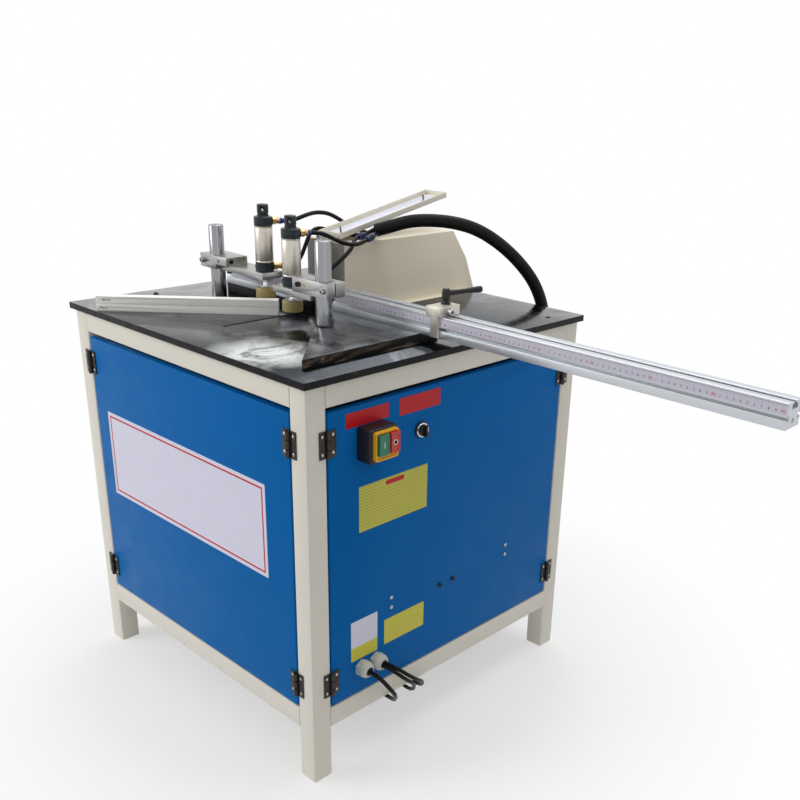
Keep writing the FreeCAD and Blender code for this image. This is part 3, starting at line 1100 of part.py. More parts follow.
def tube_connectors():
    """Unions on the right-hand tubes, and the elbow that takes the hose into the cabinet."""
    spots = [spot(p) for p in mouth_spots(5)]
    high = union("union_high", UNION_HIGH, spots[2], STUB_HIGH)
    low = union("union_low", UNION_LOW, spots[3], STUB_LOW)
    level = "hose_end - elbow_drop"
    collar = rod("elbow_collar", "z", ("hose_x", "hose_y"), "hose_radius + elbow_wall", "hose_end - elbow_length",
                 "hose_end")
    neck = rod("elbow_neck", "y", ("hose_x", level), "hose_radius - 1", FRAME_Y, "hose_y")
    flange = rod("elbow_flange", "y", ("hose_x", level), "hose_radius + elbow_plate", FRAME_Y,
                 f"{FRAME_Y} + elbow_plate")
    node("tube_connectors", *high, *low, fuse("elbow_solid", collar, neck, flange))


def coil_arcs():
    """Arcs of the stored cord: half turns in, a climbing half turn, and half turns out."""
    step, turns = size("coil_pitch") / 2, int(size("coil_turns"))
    rise = 2 * size("cord_radius") + size("coil_gap")
    inner = size("coil_inner")
    going_in = [inner + step * (2 * turns - i) for i in range(2 * turns)]
    here = Vector(size("coil_x") + inner + 2 * turns * step, size("coil_y"), size("cord_radius"))
    edges, way = [], 1
    for radius in going_in:
        middle, end = here + Vector(-radius * way, radius * way, 0), here - Vector(2 * radius * way, 0, 0)
        edges.append(Part.Arc(here, middle, end).toShape())
        here, way = end, -way
    reach = math.hypot(inner, rise / 2)
    middle, end = here + Vector(-inner * way, reach * way, rise / 2), here + Vector(-2 * inner * way, 0, rise)
    edges.extend(climb(here, middle, end, way))
    here, way = end, -way
    for radius in reversed(going_in):
        middle, end = here + Vector(-radius * way, radius * way, 0), here - Vector(2 * radius * way, 0, 0)
        edges.append(Part.Arc(here, middle, end).toShape())
        here, way = end, -way
    return edges, here, way


def climb(start, middle, end, way):
    """Two tangent quarter turns that lift the cord by one layer."""
    edges, tangent = [], Vector(0, way, 0)
    for a, b in ((start, middle), (middle, end)):
        chord = b - a
        normal = (chord - tangent * chord.dot(tangent)).normalize()
        radius = chord.Length ** 2 / (2 * chord.dot(normal))
        centre = a + normal * radius
        between = centre + ((a - centre) + (b - centre)).normalize() * radius
        edges.append(Part.Arc(a, between, b).toShape())
        unit = chord.normalize()
        tangent = unit * (2 * tangent.dot(unit)) - tangent
    return edges


MAINS_ROUTE = [(392, -235, 196), (406, -232, 189.5), (415, -225, 176), (415, -214, 160), (405, -200, 143),
               (390, -185, 125), (376, -172, 109), (363, -162, 94), (346, -154, 85), (318, -149, 80),
               (276, -148, 70), (226, -149, 52), (180, -149, 32), (138, -146, 14), (112, -136, 4.6),
               (97.5, -115, 4), (93.8, -92, 4)]
MOTOR_CABLE = [(391, -203, 196), (404, -198, 190.5), (413, -187, 178.5), (412, -172, 164), (402, -153, 146),
               (388, -135, 127), (375, -121, 110), (363, -112, 94), (347, -106, 84), (328, -102, 80),
               (310, -99, 82), (298, -97, 92), (294, -96, 108), (294, -95, 130), (298, -95, 160),
               (303.5, -95.5, 212), (303.5, -95.5, 265)]
VALVE_CABLE = [(392, -194, 196), (407, -187, 190.5), (417, -174, 178), (415, -156, 162), (404, -136, 145),
               (389, -116, 127), (376, -100, 110), (364, -89, 94), (348, -82, 84), (329, -78, 80),
               (311, -76, 82), (299, -74, 92), (295, -73, 108), (295, -72, 130), (299, -72, 160),
               (304.5, -72.5, 212), (304.5, -72.5, 265)]


def mains_cord():
    """Supply lead: a free stretch, its stored coil on the floor under the cabinet, and its plug."""
    radius = size("cord_radius")
    edges, last, way = coil_arcs()
    first = edges[0].valueAt(edges[0].FirstParameter)
    lead_in = first - Vector(0, 2 * radius, 0)
    lead_out = last + Vector(0, way * size("plug_lead"), 0)
    edges = [Part.LineSegment(lead_in, first).toShape(), *edges, Part.LineSegment(last, lead_out).toShape()]
    wire = Part.Wire(edges)
    shape = tube_on(wire, lead_in, Vector(0, 1, 0), radius)
    print(f"coil: length {wire.Length:.0f}, least gap {coil_gap(edges, radius):.2f},"
          f" volume {shape.Volume / (math.pi * radius ** 2 * wire.Length):.4f}, from {lead_in} to {lead_out}")
    node("mains_coil", feature("coil_tube", shape))
    mouth = (gland_mouth(), size("gland_one"), size("gland_height"))
    node("mains_cord", cord("mains_lead", [mouth, *MAINS_ROUTE, spot(lead_in)], radius))
    node("mains_plug", plug(lead_out, way))


def gland_mouth():
    """How far out of the cabinet's middle the mouths of the glands stand."""
    return number(f"{FRAME_X} + gland_reach")


def machine_cables():
    """Two cables from the second gland that pass under the rail and up to the terminals."""
    pieces = []
    for name, side, route in (("motor_cable", -1, MOTOR_CABLE), ("valve_cable", 1, VALVE_CABLE)):
        start = (gland_mouth(), size("gland_two") + side * 3.9, size("gland_height"))
        pieces.append(cord(name, [start, *route], size("cable_radius")))
    node("machine_cables", *pieces)


def coil_gap(edges, radius):
    """Least clear distance between turns of the coil, measured on points along it."""
    points = []
    for edge in edges:
        count = max(3, int(edge.Length / 5))
        for i in range(count):
            points.append(edge.valueAt(edge.FirstParameter + (edge.LastParameter - edge.FirstParameter) * i / count))
    least = 1e9
    for i, a in enumerate(points):
        for b in points[i + 12:]:
            least = min(least, a.distanceToPoint(b))
    return least - 2 * radius


def plug(tip, way):
    """Moulded plug with two pins, lying on the floor at the coil's end."""
    length, width, tall = size("plug_length"), size("plug_width"), tip.z * 2
    body = Part.makeBox(width, length, tall, Vector(-width / 2, 0, 0))
    body = body.makeFillet(5, [e for e in body.Edges if abs(e.tangentAt(e.FirstParameter).y) > 0.9])
    pins = [Part.makeCylinder(2.4, 19, Vector(x, length, tall / 2), Vector(0, 1, 0)) for x in (-9.5, 9.5)]
    piece = feature("plug_body", body.multiFuse(pins))
    piece.Placement = Placement(Vector(tip.x, tip.y, 0), Rotation(Vector(0, 0, 1), 0 if way > 0 else 180))
    return piece


def build():
    """Make every sub-part of the saw."""
    frame_legs()
    frame_rails()
    table_plate()
    raised_plates()
    fence("fence_right", "fence_right_start", "fence_right_length")
    fence("fence_left", "fence_left_start", "fence_left_length")
    angle_fence()
    table_screws()
    stop_parts()
    clamp_posts()
    clamp_bracket("left", 1)
    clamp_bracket("right", -1)
    clamp_cylinder("left")
    clamp_cylinder("right")
    guard_box()
    guard_flap()
    flap_hinge()
    panels()
    butt_hinges()
    switches()
    cable_glands()
    slides()
    carriage()
    spindle()
    motor()
    belt()
    feed_cylinder()
    control_gear()
    air_tubes()
    hose()
    tube_connectors()
    mains_cord()
    machine_cables()


def check():
    """Stop if any object failed or any sub-part has no sound shape."""
    for piece in doc.Objects:
        bad = [state for state in piece.State if state in ("Invalid", "Error")]
        if bad:
            raise RuntimeError(f"{piece.Name} ({piece.Label}) is {bad}")
    for piece in NODES:
        if piece.Shape.isNull() or not piece.Shape.isValid() or not piece.Shape.Solids:
            raise RuntimeError(f"{piece.Label} has no sound shape")


def write():
    """Write each sub-part, with the origin on the floor under the middle of the whole machine."""
    middle_x = number("(fence_right_start + fence_right_length - table_length/2)/2")
    middle_y = number("(hose_y + hose_radius + elbow_wall - table_width/2)/2")
    os.makedirs("parts", exist_ok=True)
    for piece in NODES:
        shape = piece.Shape.copy()
        shape.translate(Vector(-middle_x, -middle_y, 0))
        shape.exportStep(f"parts/{piece.Label}.step")
        limits = shape.BoundBox
        print(f"{piece.Label}: {len(shape.Solids)} solids, {shape.Volume / 1000:.1f} cm3,"
              f" x {limits.XMin:.1f} {limits.XMax:.1f} y {limits.YMin:.1f} {limits.YMax:.1f}"
              f" z {limits.ZMin:.1f} {limits.ZMax:.1f}")


build()
doc.recompute()
check()
write()
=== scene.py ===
"""Looks of a pneumatic mitre saw for aluminium and frame profiles.

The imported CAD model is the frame. Each sub-assembly is a class that makes its pieces, dresses
them and lets them ride on the bodies of the frame. Places are in millimetres from the middle of
the table and the floor, and `spot` turns them into metres of the frame. Routes are in metres.
"""

import json
import logging
import math
from collections.abc import Callable, Sequence
from dataclasses import dataclass
from enum import Enum
from itertools import product

import bmesh
import bpy
from mathutils import Matrix, Vector


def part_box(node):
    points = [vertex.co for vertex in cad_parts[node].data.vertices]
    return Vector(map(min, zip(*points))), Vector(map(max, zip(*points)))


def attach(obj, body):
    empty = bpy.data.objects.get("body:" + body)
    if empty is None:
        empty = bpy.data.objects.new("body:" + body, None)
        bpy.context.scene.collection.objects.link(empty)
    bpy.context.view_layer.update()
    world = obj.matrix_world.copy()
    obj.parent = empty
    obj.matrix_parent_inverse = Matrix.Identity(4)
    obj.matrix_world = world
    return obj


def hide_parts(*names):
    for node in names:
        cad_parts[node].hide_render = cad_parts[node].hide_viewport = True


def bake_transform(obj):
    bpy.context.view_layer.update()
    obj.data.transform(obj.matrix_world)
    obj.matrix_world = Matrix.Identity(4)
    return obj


log = logging.getLogger("saw")

RGB = tuple[float, float, float]
Point = tuple[float, float, float]
Room = tuple[Point, Point]
TABLE_MIDDLE = (306.0, 19.25)
MM = 0.001
SAME_PLACE = 1e-5
SHARP_ANGLE = 35.0


def spot(x: float, y: float, z: float) -> Vector:
    """Turn millimetres from the table's middle into metres of the frame.

    Args:
        x: Distance to the right of the table's middle.
        y: Distance behind the table's middle.
        z: Height over the floor.

    Returns:
        The point in the frame.
    """
    return Vector(((x - TABLE_MIDDLE[0]) * MM, (y - TABLE_MIDDLE[1]) * MM, z * MM))


def tone(red: int, green: int, blue: int) -> RGB:
    """Turn a screen colour of 0 to 255 into the linear colour that a shader takes.

    Args:
        red: Red of the screen colour.
        green: Green of the screen colour.
        blue: Blue of the screen colour.

    Returns:
        The linear colour.
    """
    def linear(value: int) -> float:
        """Turn one screen value into its linear share."""
        share = value / 255
        return share / 12.92 if share <= 0.04045 else ((share + 0.055) / 1.055) ** 2.4
    return (linear(red), linear(green), linear(blue))


class Axis(Enum):
    """An axis of the frame."""

    X = Vector((1, 0, 0))
    Y = Vector((0, 1, 0))
    Z = Vector((0, 0, 1))


# Finishes


class Shader:
    """A material's node tree, built with one call per node."""

    def __init__(self, name: str) -> None:
        """Start a material with its principled shader."""
        self.material = bpy.data.materials.new(name)
        self.material.use_nodes = True
        self.tree = self.material.node_tree
        self.surface = self.tree.nodes["Principled BSDF"]
        self.place = self.tree.nodes.new("ShaderNodeTexCoord").outputs["Object"]

    def node(self, kind: str, inputs: dict[str, object] | None = None, **settings: object) -> bpy.types.Node:
        """Add a node.

        Args:
            kind: Type name of the node.
            inputs: Values or sockets for its inputs, by name or number.
            settings: Attributes of the node.

        Returns:
            The new node.
        """
        made = self.tree.nodes.new(kind)
        for key, value in settings.items():
            setattr(made, key, value)
        for key, value in (inputs or {}).items():
            self.feed(made.inputs[key], value)
        return made

    def feed(self, socket: bpy.types.NodeSocket, value: object) -> None:
        """Give an input a value, or join it to another socket."""
        if isinstance(value, bpy.types.NodeSocket):
            self.tree.links.new(value, socket)
        else:
            socket.default_value = value

    def stretched(self, scale: Point, turn: float = 0.0) -> bpy.types.NodeSocket:
        """Object coordinates turned back by degrees about Z, then stretched along each axis."""
        place = self.place
        if turn:
            back = (0.0, 0.0, math.radians(-turn))
            place = self.node("ShaderNodeMapping", {"Vector": place, "Rotation": back}).outputs[0]
        return self.node("ShaderNodeMapping", {"Vector": place, "Scale": scale}).outputs[0]

    def noise(self, scale: float, detail: float = 3.0, rough: float = 0.5, warp: float = 0.0,
              place: bpy.types.NodeSocket | None = None) -> bpy.types.NodeSocket:
        """Smooth noise over the piece.

        Args:
            scale: Waves per metre.
            detail: Octaves of finer noise.
            rough: Strength of the finer octaves.
            warp: Distortion.
            place: Coordinates other than the plain object ones.

        Returns:
            The noise from 0 to 1.
        """
        inputs = {"Vector": place or self.place, "Scale": scale, "Detail": detail, "Roughness": rough,
                  "Distortion": warp}
        return self.node("ShaderNodeTexNoise", inputs).outputs["Fac"]

    def cells(self, scale: float) -> bpy.types.NodeSocket:
        """Distance to the nearest of scattered points."""
        return self.node("ShaderNodeTexVoronoi", {"Vector": self.place, "Scale": scale}).outputs["Distance"]

    def away(self, point: Point) -> bpy.types.NodeSocket:
        """Distance in metres from a point of the object coordinates."""
        made = self.node("ShaderNodeVectorMath", {0: self.place, 1: point}, operation="DISTANCE")
        return made.outputs["Value"]

    def band(self, value: bpy.types.NodeSocket, low: float, high: float, first: float = 0.0,
             last: float = 1.0) -> bpy.types.NodeSocket:
        """Map a stretch of values to another, clamped at both ends.

        Args:
            value: What is mapped.
            low: Start of the stretch.
            high: End of the stretch.
            first: Result at the start.
            last: Result at the end.

        Returns:
            The mapped value.
        """
        made = self.node("ShaderNodeMapRange", {"Value": value, "From Min": low, "From Max": high,
                                                "To Min": first, "To Max": last})
        return made.outputs[0]

    def maths(self, operation: str, first: object, second: object = 0.0) -> bpy.types.NodeSocket:
        """One step of arithmetic on two values."""
        return self.node("ShaderNodeMath", {0: first, 1: second}, operation=operation).outputs[0]

    def mix(self, share: object, first: object, second: object) -> bpy.types.NodeSocket:
        """Mix two colours by a share of the second."""
        made = self.node("ShaderNodeMix", data_type="RGBA")
        for key, value in ((0, share), (6, first), (7, second)):
            if isinstance(value, tuple):
                value = (*value, 1.0)
            self.feed(made.inputs[key], value)
        return made.outputs[2]

    def bump(self, height: bpy.types.NodeSocket, depth: float,
             under: bpy.types.NodeSocket | None = None) -> bpy.types.NodeSocket:
        """Turn a height from 0 to 1 into a bumpy normal.

        Args:
            height: The height.
            depth: Depth of the bumps in metres.
            under: A normal that is already bumpy.

        Returns:
            The normal.
        """
        inputs: dict[str, object] = {"Height": height, "Distance": depth, "Strength": 1.0}
        if under is not None:
            inputs["Normal"] = under
        return self.node("ShaderNodeBump", inputs).outputs[0]

    def set(self, **inputs: object) -> None:
        """Set inputs of the principled shader, with underscores for the spaces in their names."""
        for key, value in inputs.items():
            if isinstance(value, tuple) and len(value) == 3:
                value = (*value, 1.0)
            self.feed(self.surface.inputs[key.replace("_", " ")], value)

    def part(self, axis: str) -> bpy.types.NodeSocket:
        """One of the object coordinates."""
        return self.node("ShaderNodeSeparateXYZ", {0: self.place}).outputs[axis]


@dataclass(frozen=True)
class Finish:
    """A surface with a colour, a roughness and fine detail."""

    name: str
    colour: RGB
    roughness: float = 0.5

    def material(self) -> bpy.types.Material:
        """Return this finish's material, made on its first use."""
        title = f"{self.name}_finish"
        found = bpy.data.materials.get(title)
        if found:
            return found
        shader = Shader(title)
        self.draw(shader)
        return shader.material

    def draw(self, shader: Shader) -> None:
        """Draw the finish with nodes."""
        raise NotImplementedError

    def shades(self, share: float) -> tuple[RGB, RGB]:
        """The colour made darker and lighter by a share."""
        dark = tuple(c * (1 - share) for c in self.colour)
        light = tuple(min(1.0, c * (1 + share)) for c in self.colour)
        return dark, light

    def uneven(self, shader: Shader, value: bpy.types.NodeSocket, less: float,
               more: float) -> bpy.types.NodeSocket:
        """Let the middle range of a noise make the finish smoother or rougher.

        Args:
            shader: The shader.
            value: The noise from 0 to 1.
            less: How much smoother the surface is where the noise is low.
            more: How much rougher it is where the noise is high.

        Returns:
            The roughness.
        """
        return shader.band(value, 0.3, 0.7, self.roughness - less, self.roughness + more)


@dataclass(frozen=True)
class Paint(Finish):
    """Sprayed paint with orange peel, soft shade changes, worn patches and specks."""

    gloss: float = 0.3
    scuffs: float = 0.12
    mirror: float = 0.5

    def draw(self, shader: Shader) -> None:
        """Draw paint."""
        dark, light = self.shades(0.07)
        base = shader.mix(shader.noise(3.0, 4, 0.6), dark, light)
        grime = shader.band(shader.noise(26.0, 8, 0.72, 0.6), 0.60, 0.80, 0.0, self.scuffs)
        worn = tuple(c * 0.45 + 0.02 for c in self.colour)
        specks = shader.band(shader.cells(130.0), 0.02, 0.05, self.scuffs * 1.5, 0.0)
        base = shader.mix(grime, base, worn)
        base = shader.mix(specks, base, worn)
        rough = shader.band(shader.noise(14.0, 6, 0.7), 0.3, 0.75,
                            self.roughness - 0.08, self.roughness + 0.12)
        peel = shader.bump(shader.noise(520.0, 3, 0.55), 0.00012)
        shader.set(Base_Color=base, Roughness=rough, Normal=peel, Coat_Weight=self.gloss, Coat_Roughness=0.12,
                   Specular_IOR_Level=self.mirror)


@dataclass(frozen=True)
class GroundPlate(Finish):
    """Ground steel under a film of oil, with swirls, scratches, stains and a painted highlight of glare where
    a place for it is given.
    """

    stains: float = 0.5
    # The next two fields give the middle of the painted glare and how far it reaches.
    rubbed: Point | None = None
    rubbed_far: float = 0.11

    def draw(self, shader: Shader) -> None:
        """Draw an oily ground plate, with a pale painted highlight of glare round one place where one is
        given.
        """
        dark, light = self.shades(0.35)
        blot = shader.noise(7.0, 6, 0.62, 1.6)
        base = shader.mix(shader.band(blot, 0.35, 0.65), dark, light)
        smear = shader.noise(5.5, 5, 0.6, 2.2, shader.stretched((1.0, 2.6, 1.0)))
        pale = tuple(min(1.0, c * 2.4 + 0.06) for c in self.colour)
        base = shader.mix(shader.band(smear, 0.56, 0.70, 0.0, 0.55), base, pale)
        rust = shader.band(shader.noise(38.0, 8, 0.7, 0.8), 0.66, 0.80, 0.0, self.stains * 0.5)
        base = shader.mix(rust, base, tone(84, 66, 50))
        # Painted highlight: a broken pale patch round the given centre stands in for glare of the light on the
        # plate.
        if self.rubbed:
            near = shader.band(shader.away(self.rubbed), 0.04, self.rubbed_far, 1.0, 0.0)
            glare_breakup = shader.band(shader.noise(15.0, 6, 0.66, 1.3), 0.34, 0.54)
            base = shader.mix(shader.maths("MULTIPLY", near, glare_breakup), base, tone(226, 230, 227))
        lines = shader.noise(95.0, 4, 0.7, 0.3, shader.stretched((0.35, 16.0, 1.0)))
        scratch = shader.noise(60.0, 3, 0.8, 0.5, shader.stretched((14.0, 0.5, 1.0)))
        wet = shader.band(blot, 0.42, 0.6, 0.08, 0.26)
        rough = shader.maths("ADD", wet, shader.band(lines, 0.4, 0.7, 0.0, 0.10))
        normal = shader.bump(lines, 0.00005)
        normal = shader.bump(scratch, 0.00004, normal)
        normal = shader.bump(blot, 0.0016, normal)
        shader.set(Base_Color=base, Metallic=0.86, Roughness=rough, Normal=normal, Coat_Weight=0.25,
                   Coat_Roughness=0.05)


@dataclass(frozen=True)
class WornBlack(Finish):
    """Blackened plate edge, worn to brown and bright steel in patches."""

    wear: float = 0.5
    spread: float = 0.0

    def draw(self, shader: Shader) -> None:
        """Draw a worn black edge."""
        patch = shader.noise(11.0, 7, 0.66, 0.9, shader.stretched((0.7, 0.7, 3.0)))
        brown = shader.band(patch, 0.60 - self.spread, 0.66 - self.spread, 0.0, self.wear)
        bright = shader.band(patch, 0.67 - self.spread, 0.73 - self.spread, 0.0, self.wear)
        base = shader.mix(brown, self.colour, tone(92, 76, 60))
        base = shader.mix(bright, base, tone(176, 166, 148))
        rough = self.uneven(shader, shader.noise(90.0, 5, 0.7), 0.0, 0.25)
        normal = shader.bump(shader.noise(260.0, 5, 0.6), 0.0002)
        metal = shader.band(bright, 0.0, 1.0, 0.05, 0.8)
        shader.set(Base_Color=base, Metallic=metal, Roughness=rough, Normal=normal, Specular_IOR_Level=0.15)


@dataclass(frozen=True)
class Drawn(Finish):
    """Extruded, drawn or ground metal with fine lines along one axis."""

    along: Axis = Axis.X
    lines: float = 0.00003
    metal: float = 0.95
    turn: float = 0.0

    def draw(self, shader: Shader) -> None:
        """Draw metal with lines."""
        stretch = tuple(0.6 if v else 30.0 for v in self.along.value)
        fine = shader.noise(140.0, 4, 0.75, 0.0, shader.stretched(stretch, self.turn))
        dark, light = self.shades(0.10)
        base = shader.mix(fine, dark, light)
        handled = shader.band(shader.noise(17.0, 6, 0.65, 0.5), 0.55, 0.78, 0.0, 0.22)
        base = shader.mix(handled, base, tuple(c * 0.62 for c in self.colour))
        rough = shader.maths("ADD", self.uneven(shader, fine, 0.06, 0.08),
                             shader.band(handled, 0.0, 0.22, 0.0, 0.10))
        shader.set(Base_Color=base, Metallic=self.metal, Roughness=rough,
                   Normal=shader.bump(fine, self.lines))


@dataclass(frozen=True)
class Turned(Finish):
    """Metal turned or machined all round, with fine rings and a little soil."""

    metal: float = 1.0

    def draw(self, shader: Shader) -> None:
        """Draw turned metal."""
        rings = shader.noise(900.0, 3, 0.6, 0.0, shader.stretched((0.05, 0.05, 1.0)))
        dark, light = self.shades(0.12)
        base = shader.mix(shader.noise(60.0, 5, 0.6), dark, light)
        soil = shader.band(shader.noise(120.0, 6, 0.7), 0.6, 0.8, 0.0, 0.3)
        base = shader.mix(soil, base, tuple(c * 0.5 for c in self.colour))
        rough = self.uneven(shader, rings, 0.05, 0.07)
        shader.set(Base_Color=base, Metallic=self.metal, Roughness=rough, Normal=shader.bump(rings, 0.00002))


@dataclass(frozen=True)
class CastIron(Finish):
    """Sand-cast or shot-blasted metal with a coarse skin."""

    metal: float = 0.7

    def draw(self, shader: Shader) -> None:
        """Draw cast metal."""
        skin = shader.noise(700.0, 6, 0.7)
        dark, light = self.shades(0.22)
        base = shader.mix(shader.noise(22.0, 6, 0.65), dark, light)
        dust = shader.band(shader.noise(9.0, 4, 0.6), 0.5, 0.8, 0.0, 0.25)
        base = shader.mix(dust, base, tone(150, 146, 138))
        shader.set(Base_Color=base, Metallic=self.metal, Roughness=self.roughness,
                   Normal=shader.bump(skin, 0.00025))


@dataclass(frozen=True)
class Moulded(Finish):
    """Moulded plastic with a fine grain, a faint swirl and a little dust."""

    grain: float = 0.00006
    coat: float = 0.0

    def draw(self, shader: Shader) -> None:
        """Draw moulded plastic."""
        dark, light = self.shades(0.10)
        base = shader.mix(shader.noise(45.0, 4, 0.6, 0.8), dark, light)
        dust = shader.band(shader.noise(75.0, 7, 0.7), 0.58, 0.8, 0.0, 0.10)
        base = shader.mix(dust, base, tone(150, 148, 142))
        rough = self.uneven(shader, shader.noise(30.0, 5, 0.65), 0.07, 0.09)
        normal = shader.bump(shader.cells(1400.0), self.grain)
        shader.set(Base_Color=base, Roughness=rough, Normal=normal, Coat_Weight=self.coat, Coat_Roughness=0.1,
                   Specular_IOR_Level=0.35)


@dataclass(frozen=True)
class Rubber(Finish):
    """Soft black tube or sheath, matt, with pale dust and a fine grain."""

    dust: float = 0.12

    def draw(self, shader: Shader) -> None:
        """Draw rubber."""
        dark, light = self.shades(0.2)
        base = shader.mix(shader.noise(50.0, 4, 0.6), dark, light)
        dust = shader.band(shader.noise(24.0, 7, 0.7, 0.5), 0.52, 0.8, 0.0, self.dust)
        base = shader.mix(dust, base, tone(120, 116, 108))
        rough = self.uneven(shader, shader.noise(33.0, 5, 0.6), 0.08, 0.1)
        grain = shader.bump(shader.noise(900.0, 3, 0.5), 0.00004)
        shader.set(Base_Color=base, Roughness=rough, Normal=grain, Specular_IOR_Level=0.14)


@dataclass(frozen=True)
class CastResin(Finish):
    """Amber polyurethane that lets light in, with small bubbles and bruises."""

    def draw(self, shader: Shader) -> None:
        """Draw cast resin."""
        dark, light = self.shades(0.25)
        base = shader.mix(shader.noise(85.0, 5, 0.6, 1.0), dark, light)
        bubbles = shader.band(shader.cells(420.0), 0.05, 0.12, 0.35, 0.0)
        base = shader.mix(bubbles, base, tone(232, 216, 150))
        bruise = shader.band(shader.noise(150.0, 6, 0.7), 0.6, 0.75, 0.0, 0.4)
        base = shader.mix(bruise, base, tuple(c * 0.5 for c in self.colour))
        shader.set(Base_Color=base, Roughness=self.roughness, Subsurface_Weight=0.45, Subsurface_Scale=0.006,
                   Transmission_Weight=0.18, Coat_Weight=0.3, Coat_Roughness=0.15, IOR=1.5,
                   Normal=shader.bump(shader.noise(240.0, 4, 0.6), 0.0003))


@dataclass(frozen=True)
class Foil(Finish):
    """Self-adhesive foil with a fine grain and specks of soil, ruled with rows where it has a pitch."""

    rows: float = 0.0
    ink: RGB = (0.1, 0.1, 0.1)

    def draw(self, shader: Shader) -> None:
        """Draw foil, ruled with rows where a pitch in metres is given."""
        dark, light = self.shades(0.05)
        base: object = shader.mix(shader.noise(40.0, 4, 0.6), dark, light)
        if self.rows:
            phase = shader.maths("MODULO", shader.part("Z"), self.rows)
            line = shader.band(phase, self.rows * 0.18, self.rows * 0.2, 0.55, 0.0)
            base = shader.mix(line, base, self.ink)
        soil = shader.band(shader.noise(110.0, 7, 0.7), 0.6, 0.8, 0.0, 0.18)
        base = shader.mix(soil, base, tuple(c * 0.6 for c in self.colour))
        shader.set(Base_Color=base, Roughness=self.roughness, Coat_Weight=0.08, Coat_Roughness=0.2,
                   Specular_IOR_Level=0.25, Normal=shader.bump(shader.noise(700.0, 3, 0.5), 0.00003))


@dataclass(frozen=True)
class RulerTape(Finish):
    """Pale tape with millimetre marks that hang from its upper edge."""

    zero: float = 0.0
    top: float = 0.0

    def draw(self, shader: Shader) -> None:
        """Draw the tape's ground and its marks."""
        run = shader.maths("SUBTRACT", shader.part("X"), self.zero)
        drop = shader.maths("SUBTRACT", self.top, shader.part("Z"))
        marks: object = 0.0
        for pitch, length in ((0.001, 0.0022), (0.005, 0.0032), (0.010, 0.0045)):
            phase = shader.maths("MODULO", shader.maths("ADD", run, pitch * 1.5), pitch)
            offset = shader.maths("ABSOLUTE", shader.maths("SUBTRACT", phase, pitch / 2))
            thin = shader.maths("LESS_THAN", offset, 0.00013)
            near = shader.maths("LESS_THAN", drop, length)
            marks = shader.maths("MAXIMUM", marks, shader.maths("MULTIPLY", thin, near))
        dark, light = self.shades(0.05)
        base = shader.mix(shader.noise(30.0, 5, 0.6), dark, light)
        base = shader.mix(marks, base, tone(34, 30, 40))
        rough = self.uneven(shader, shader.noise(80.0, 4, 0.6), 0.06, 0.06)
        shader.set(Base_Color=base, Roughness=rough, Coat_Weight=0.3, Coat_Roughness=0.15)


CREAM = Paint("cream_paint", tone(234, 229, 217), 0.46, 0.12, 0.10, 0.35)
FLAP_CREAM = Paint("flap_paint", tone(226, 221, 206), 0.42, 0.3, 0.08)
BLUE = Paint("blue_paint", tone(4, 104, 178), 0.42, 0.0, 0.05, 0.06)
BEIGE = Paint("guard_paint", tone(236, 226, 205), 0.50, 0.1, 0.12)
MOTOR_PAINT = Paint("motor_paint", tone(70, 92, 112), 0.5, 0.2, 0.2)
# Dark grey for the guard's front faces above its foot.
GREY_FRONT = Paint("guard_front_dark_grey", tone(92, 88, 82), 0.5, 0.15, 0.15)
# The table top carries a painted highlight of glare, centred 185 mm right of and 300 mm in front of the
# table's middle.
TABLE = GroundPlate("table_top", tone(44, 49, 54), 0.3, 0.5, tuple(spot(185, -300, 752)))
RAISED = GroundPlate("raised_top", tone(84, 87, 91), 0.3, 0.7)
BLACK_EDGE = WornBlack("table_edge", tone(24, 24, 26), 0.45, 0.35)
RAISED_EDGE = WornBlack("raised_edge", tone(26, 25, 25), 0.45, 0.95, 0.09)
EXTRUSION = Drawn("fence_extrusion", tone(196, 200, 205), 0.34, Axis.X, 0.00002, 0.85)
FLAT_BAR = Drawn("angle_fence_bar", tone(252, 250, 243), 0.36, Axis.X, 0.00002, 0.0, 45.0)
POST = Drawn("post_steel", tone(146, 147, 150), 0.14, Axis.Z, 0.00002, 1.0)
BARREL = Drawn("barrel_anodised", tone(204, 198, 186), 0.33, Axis.Z, 0.00002, 0.8)
BLOCK = Drawn("bracket_aluminium", tone(168, 168, 166), 0.28, Axis.Y, 0.00003, 0.85)
STOP = Drawn("stop_block_aluminium", tone(206, 202, 190), 0.36, Axis.X, 0.00003, 0.6)
GUIDE = Drawn("guide_steel", tone(168, 170, 172), 0.25, Axis.Y, 0.00002, 1.0)
FEED_TUBE = Drawn("feed_tube_anodised", tone(186, 188, 190), 0.3, Axis.Y, 0.00002, 0.9)
CAP = Turned("cap_black_anodised", tone(34, 44, 48), 0.3, 0.55)
BRASS = Turned("fitting_brass", tone(176, 148, 98), 0.28)
CHROME = Turned("hard_chrome", tone(214, 214, 216), 0.1)
STEEL = Turned("turned_steel", tone(172, 172, 174), 0.28)
BLADE = Turned("blade_steel", tone(186, 188, 190), 0.24)
BLACK_OXIDE = Turned("black_oxide", tone(44, 43, 42), 0.38, 0.7)
HINGE_BLACK = Turned("hinge_black", tone(50, 46, 42), 0.42, 0.6)
IRON = CastIron("machined_casting", tone(96, 98, 100), 0.5)
HOUSING = CastIron("housing_casting", tone(104, 108, 112), 0.55)
BLACK_PLASTIC = Moulded("black_plastic", tone(24, 24, 26), 0.42)
YELLOW = Moulded("switch_yellow", tone(244, 176, 22), 0.4, 0.00005, 0.2)
GREEN = Moulded("button_green", tone(24, 118, 88), 0.35, 0.00004, 0.3)
RED = Moulded("button_red", tone(196, 40, 34), 0.35, 0.00004, 0.3)
MARK_WHITE = Moulded("mark_white", tone(232, 232, 228), 0.45)
GREY_NYLON = Moulded("gland_nylon", tone(206, 206, 200), 0.5)
GEAR_GREY = Moulded("switchgear_grey", tone(176, 178, 176), 0.5)
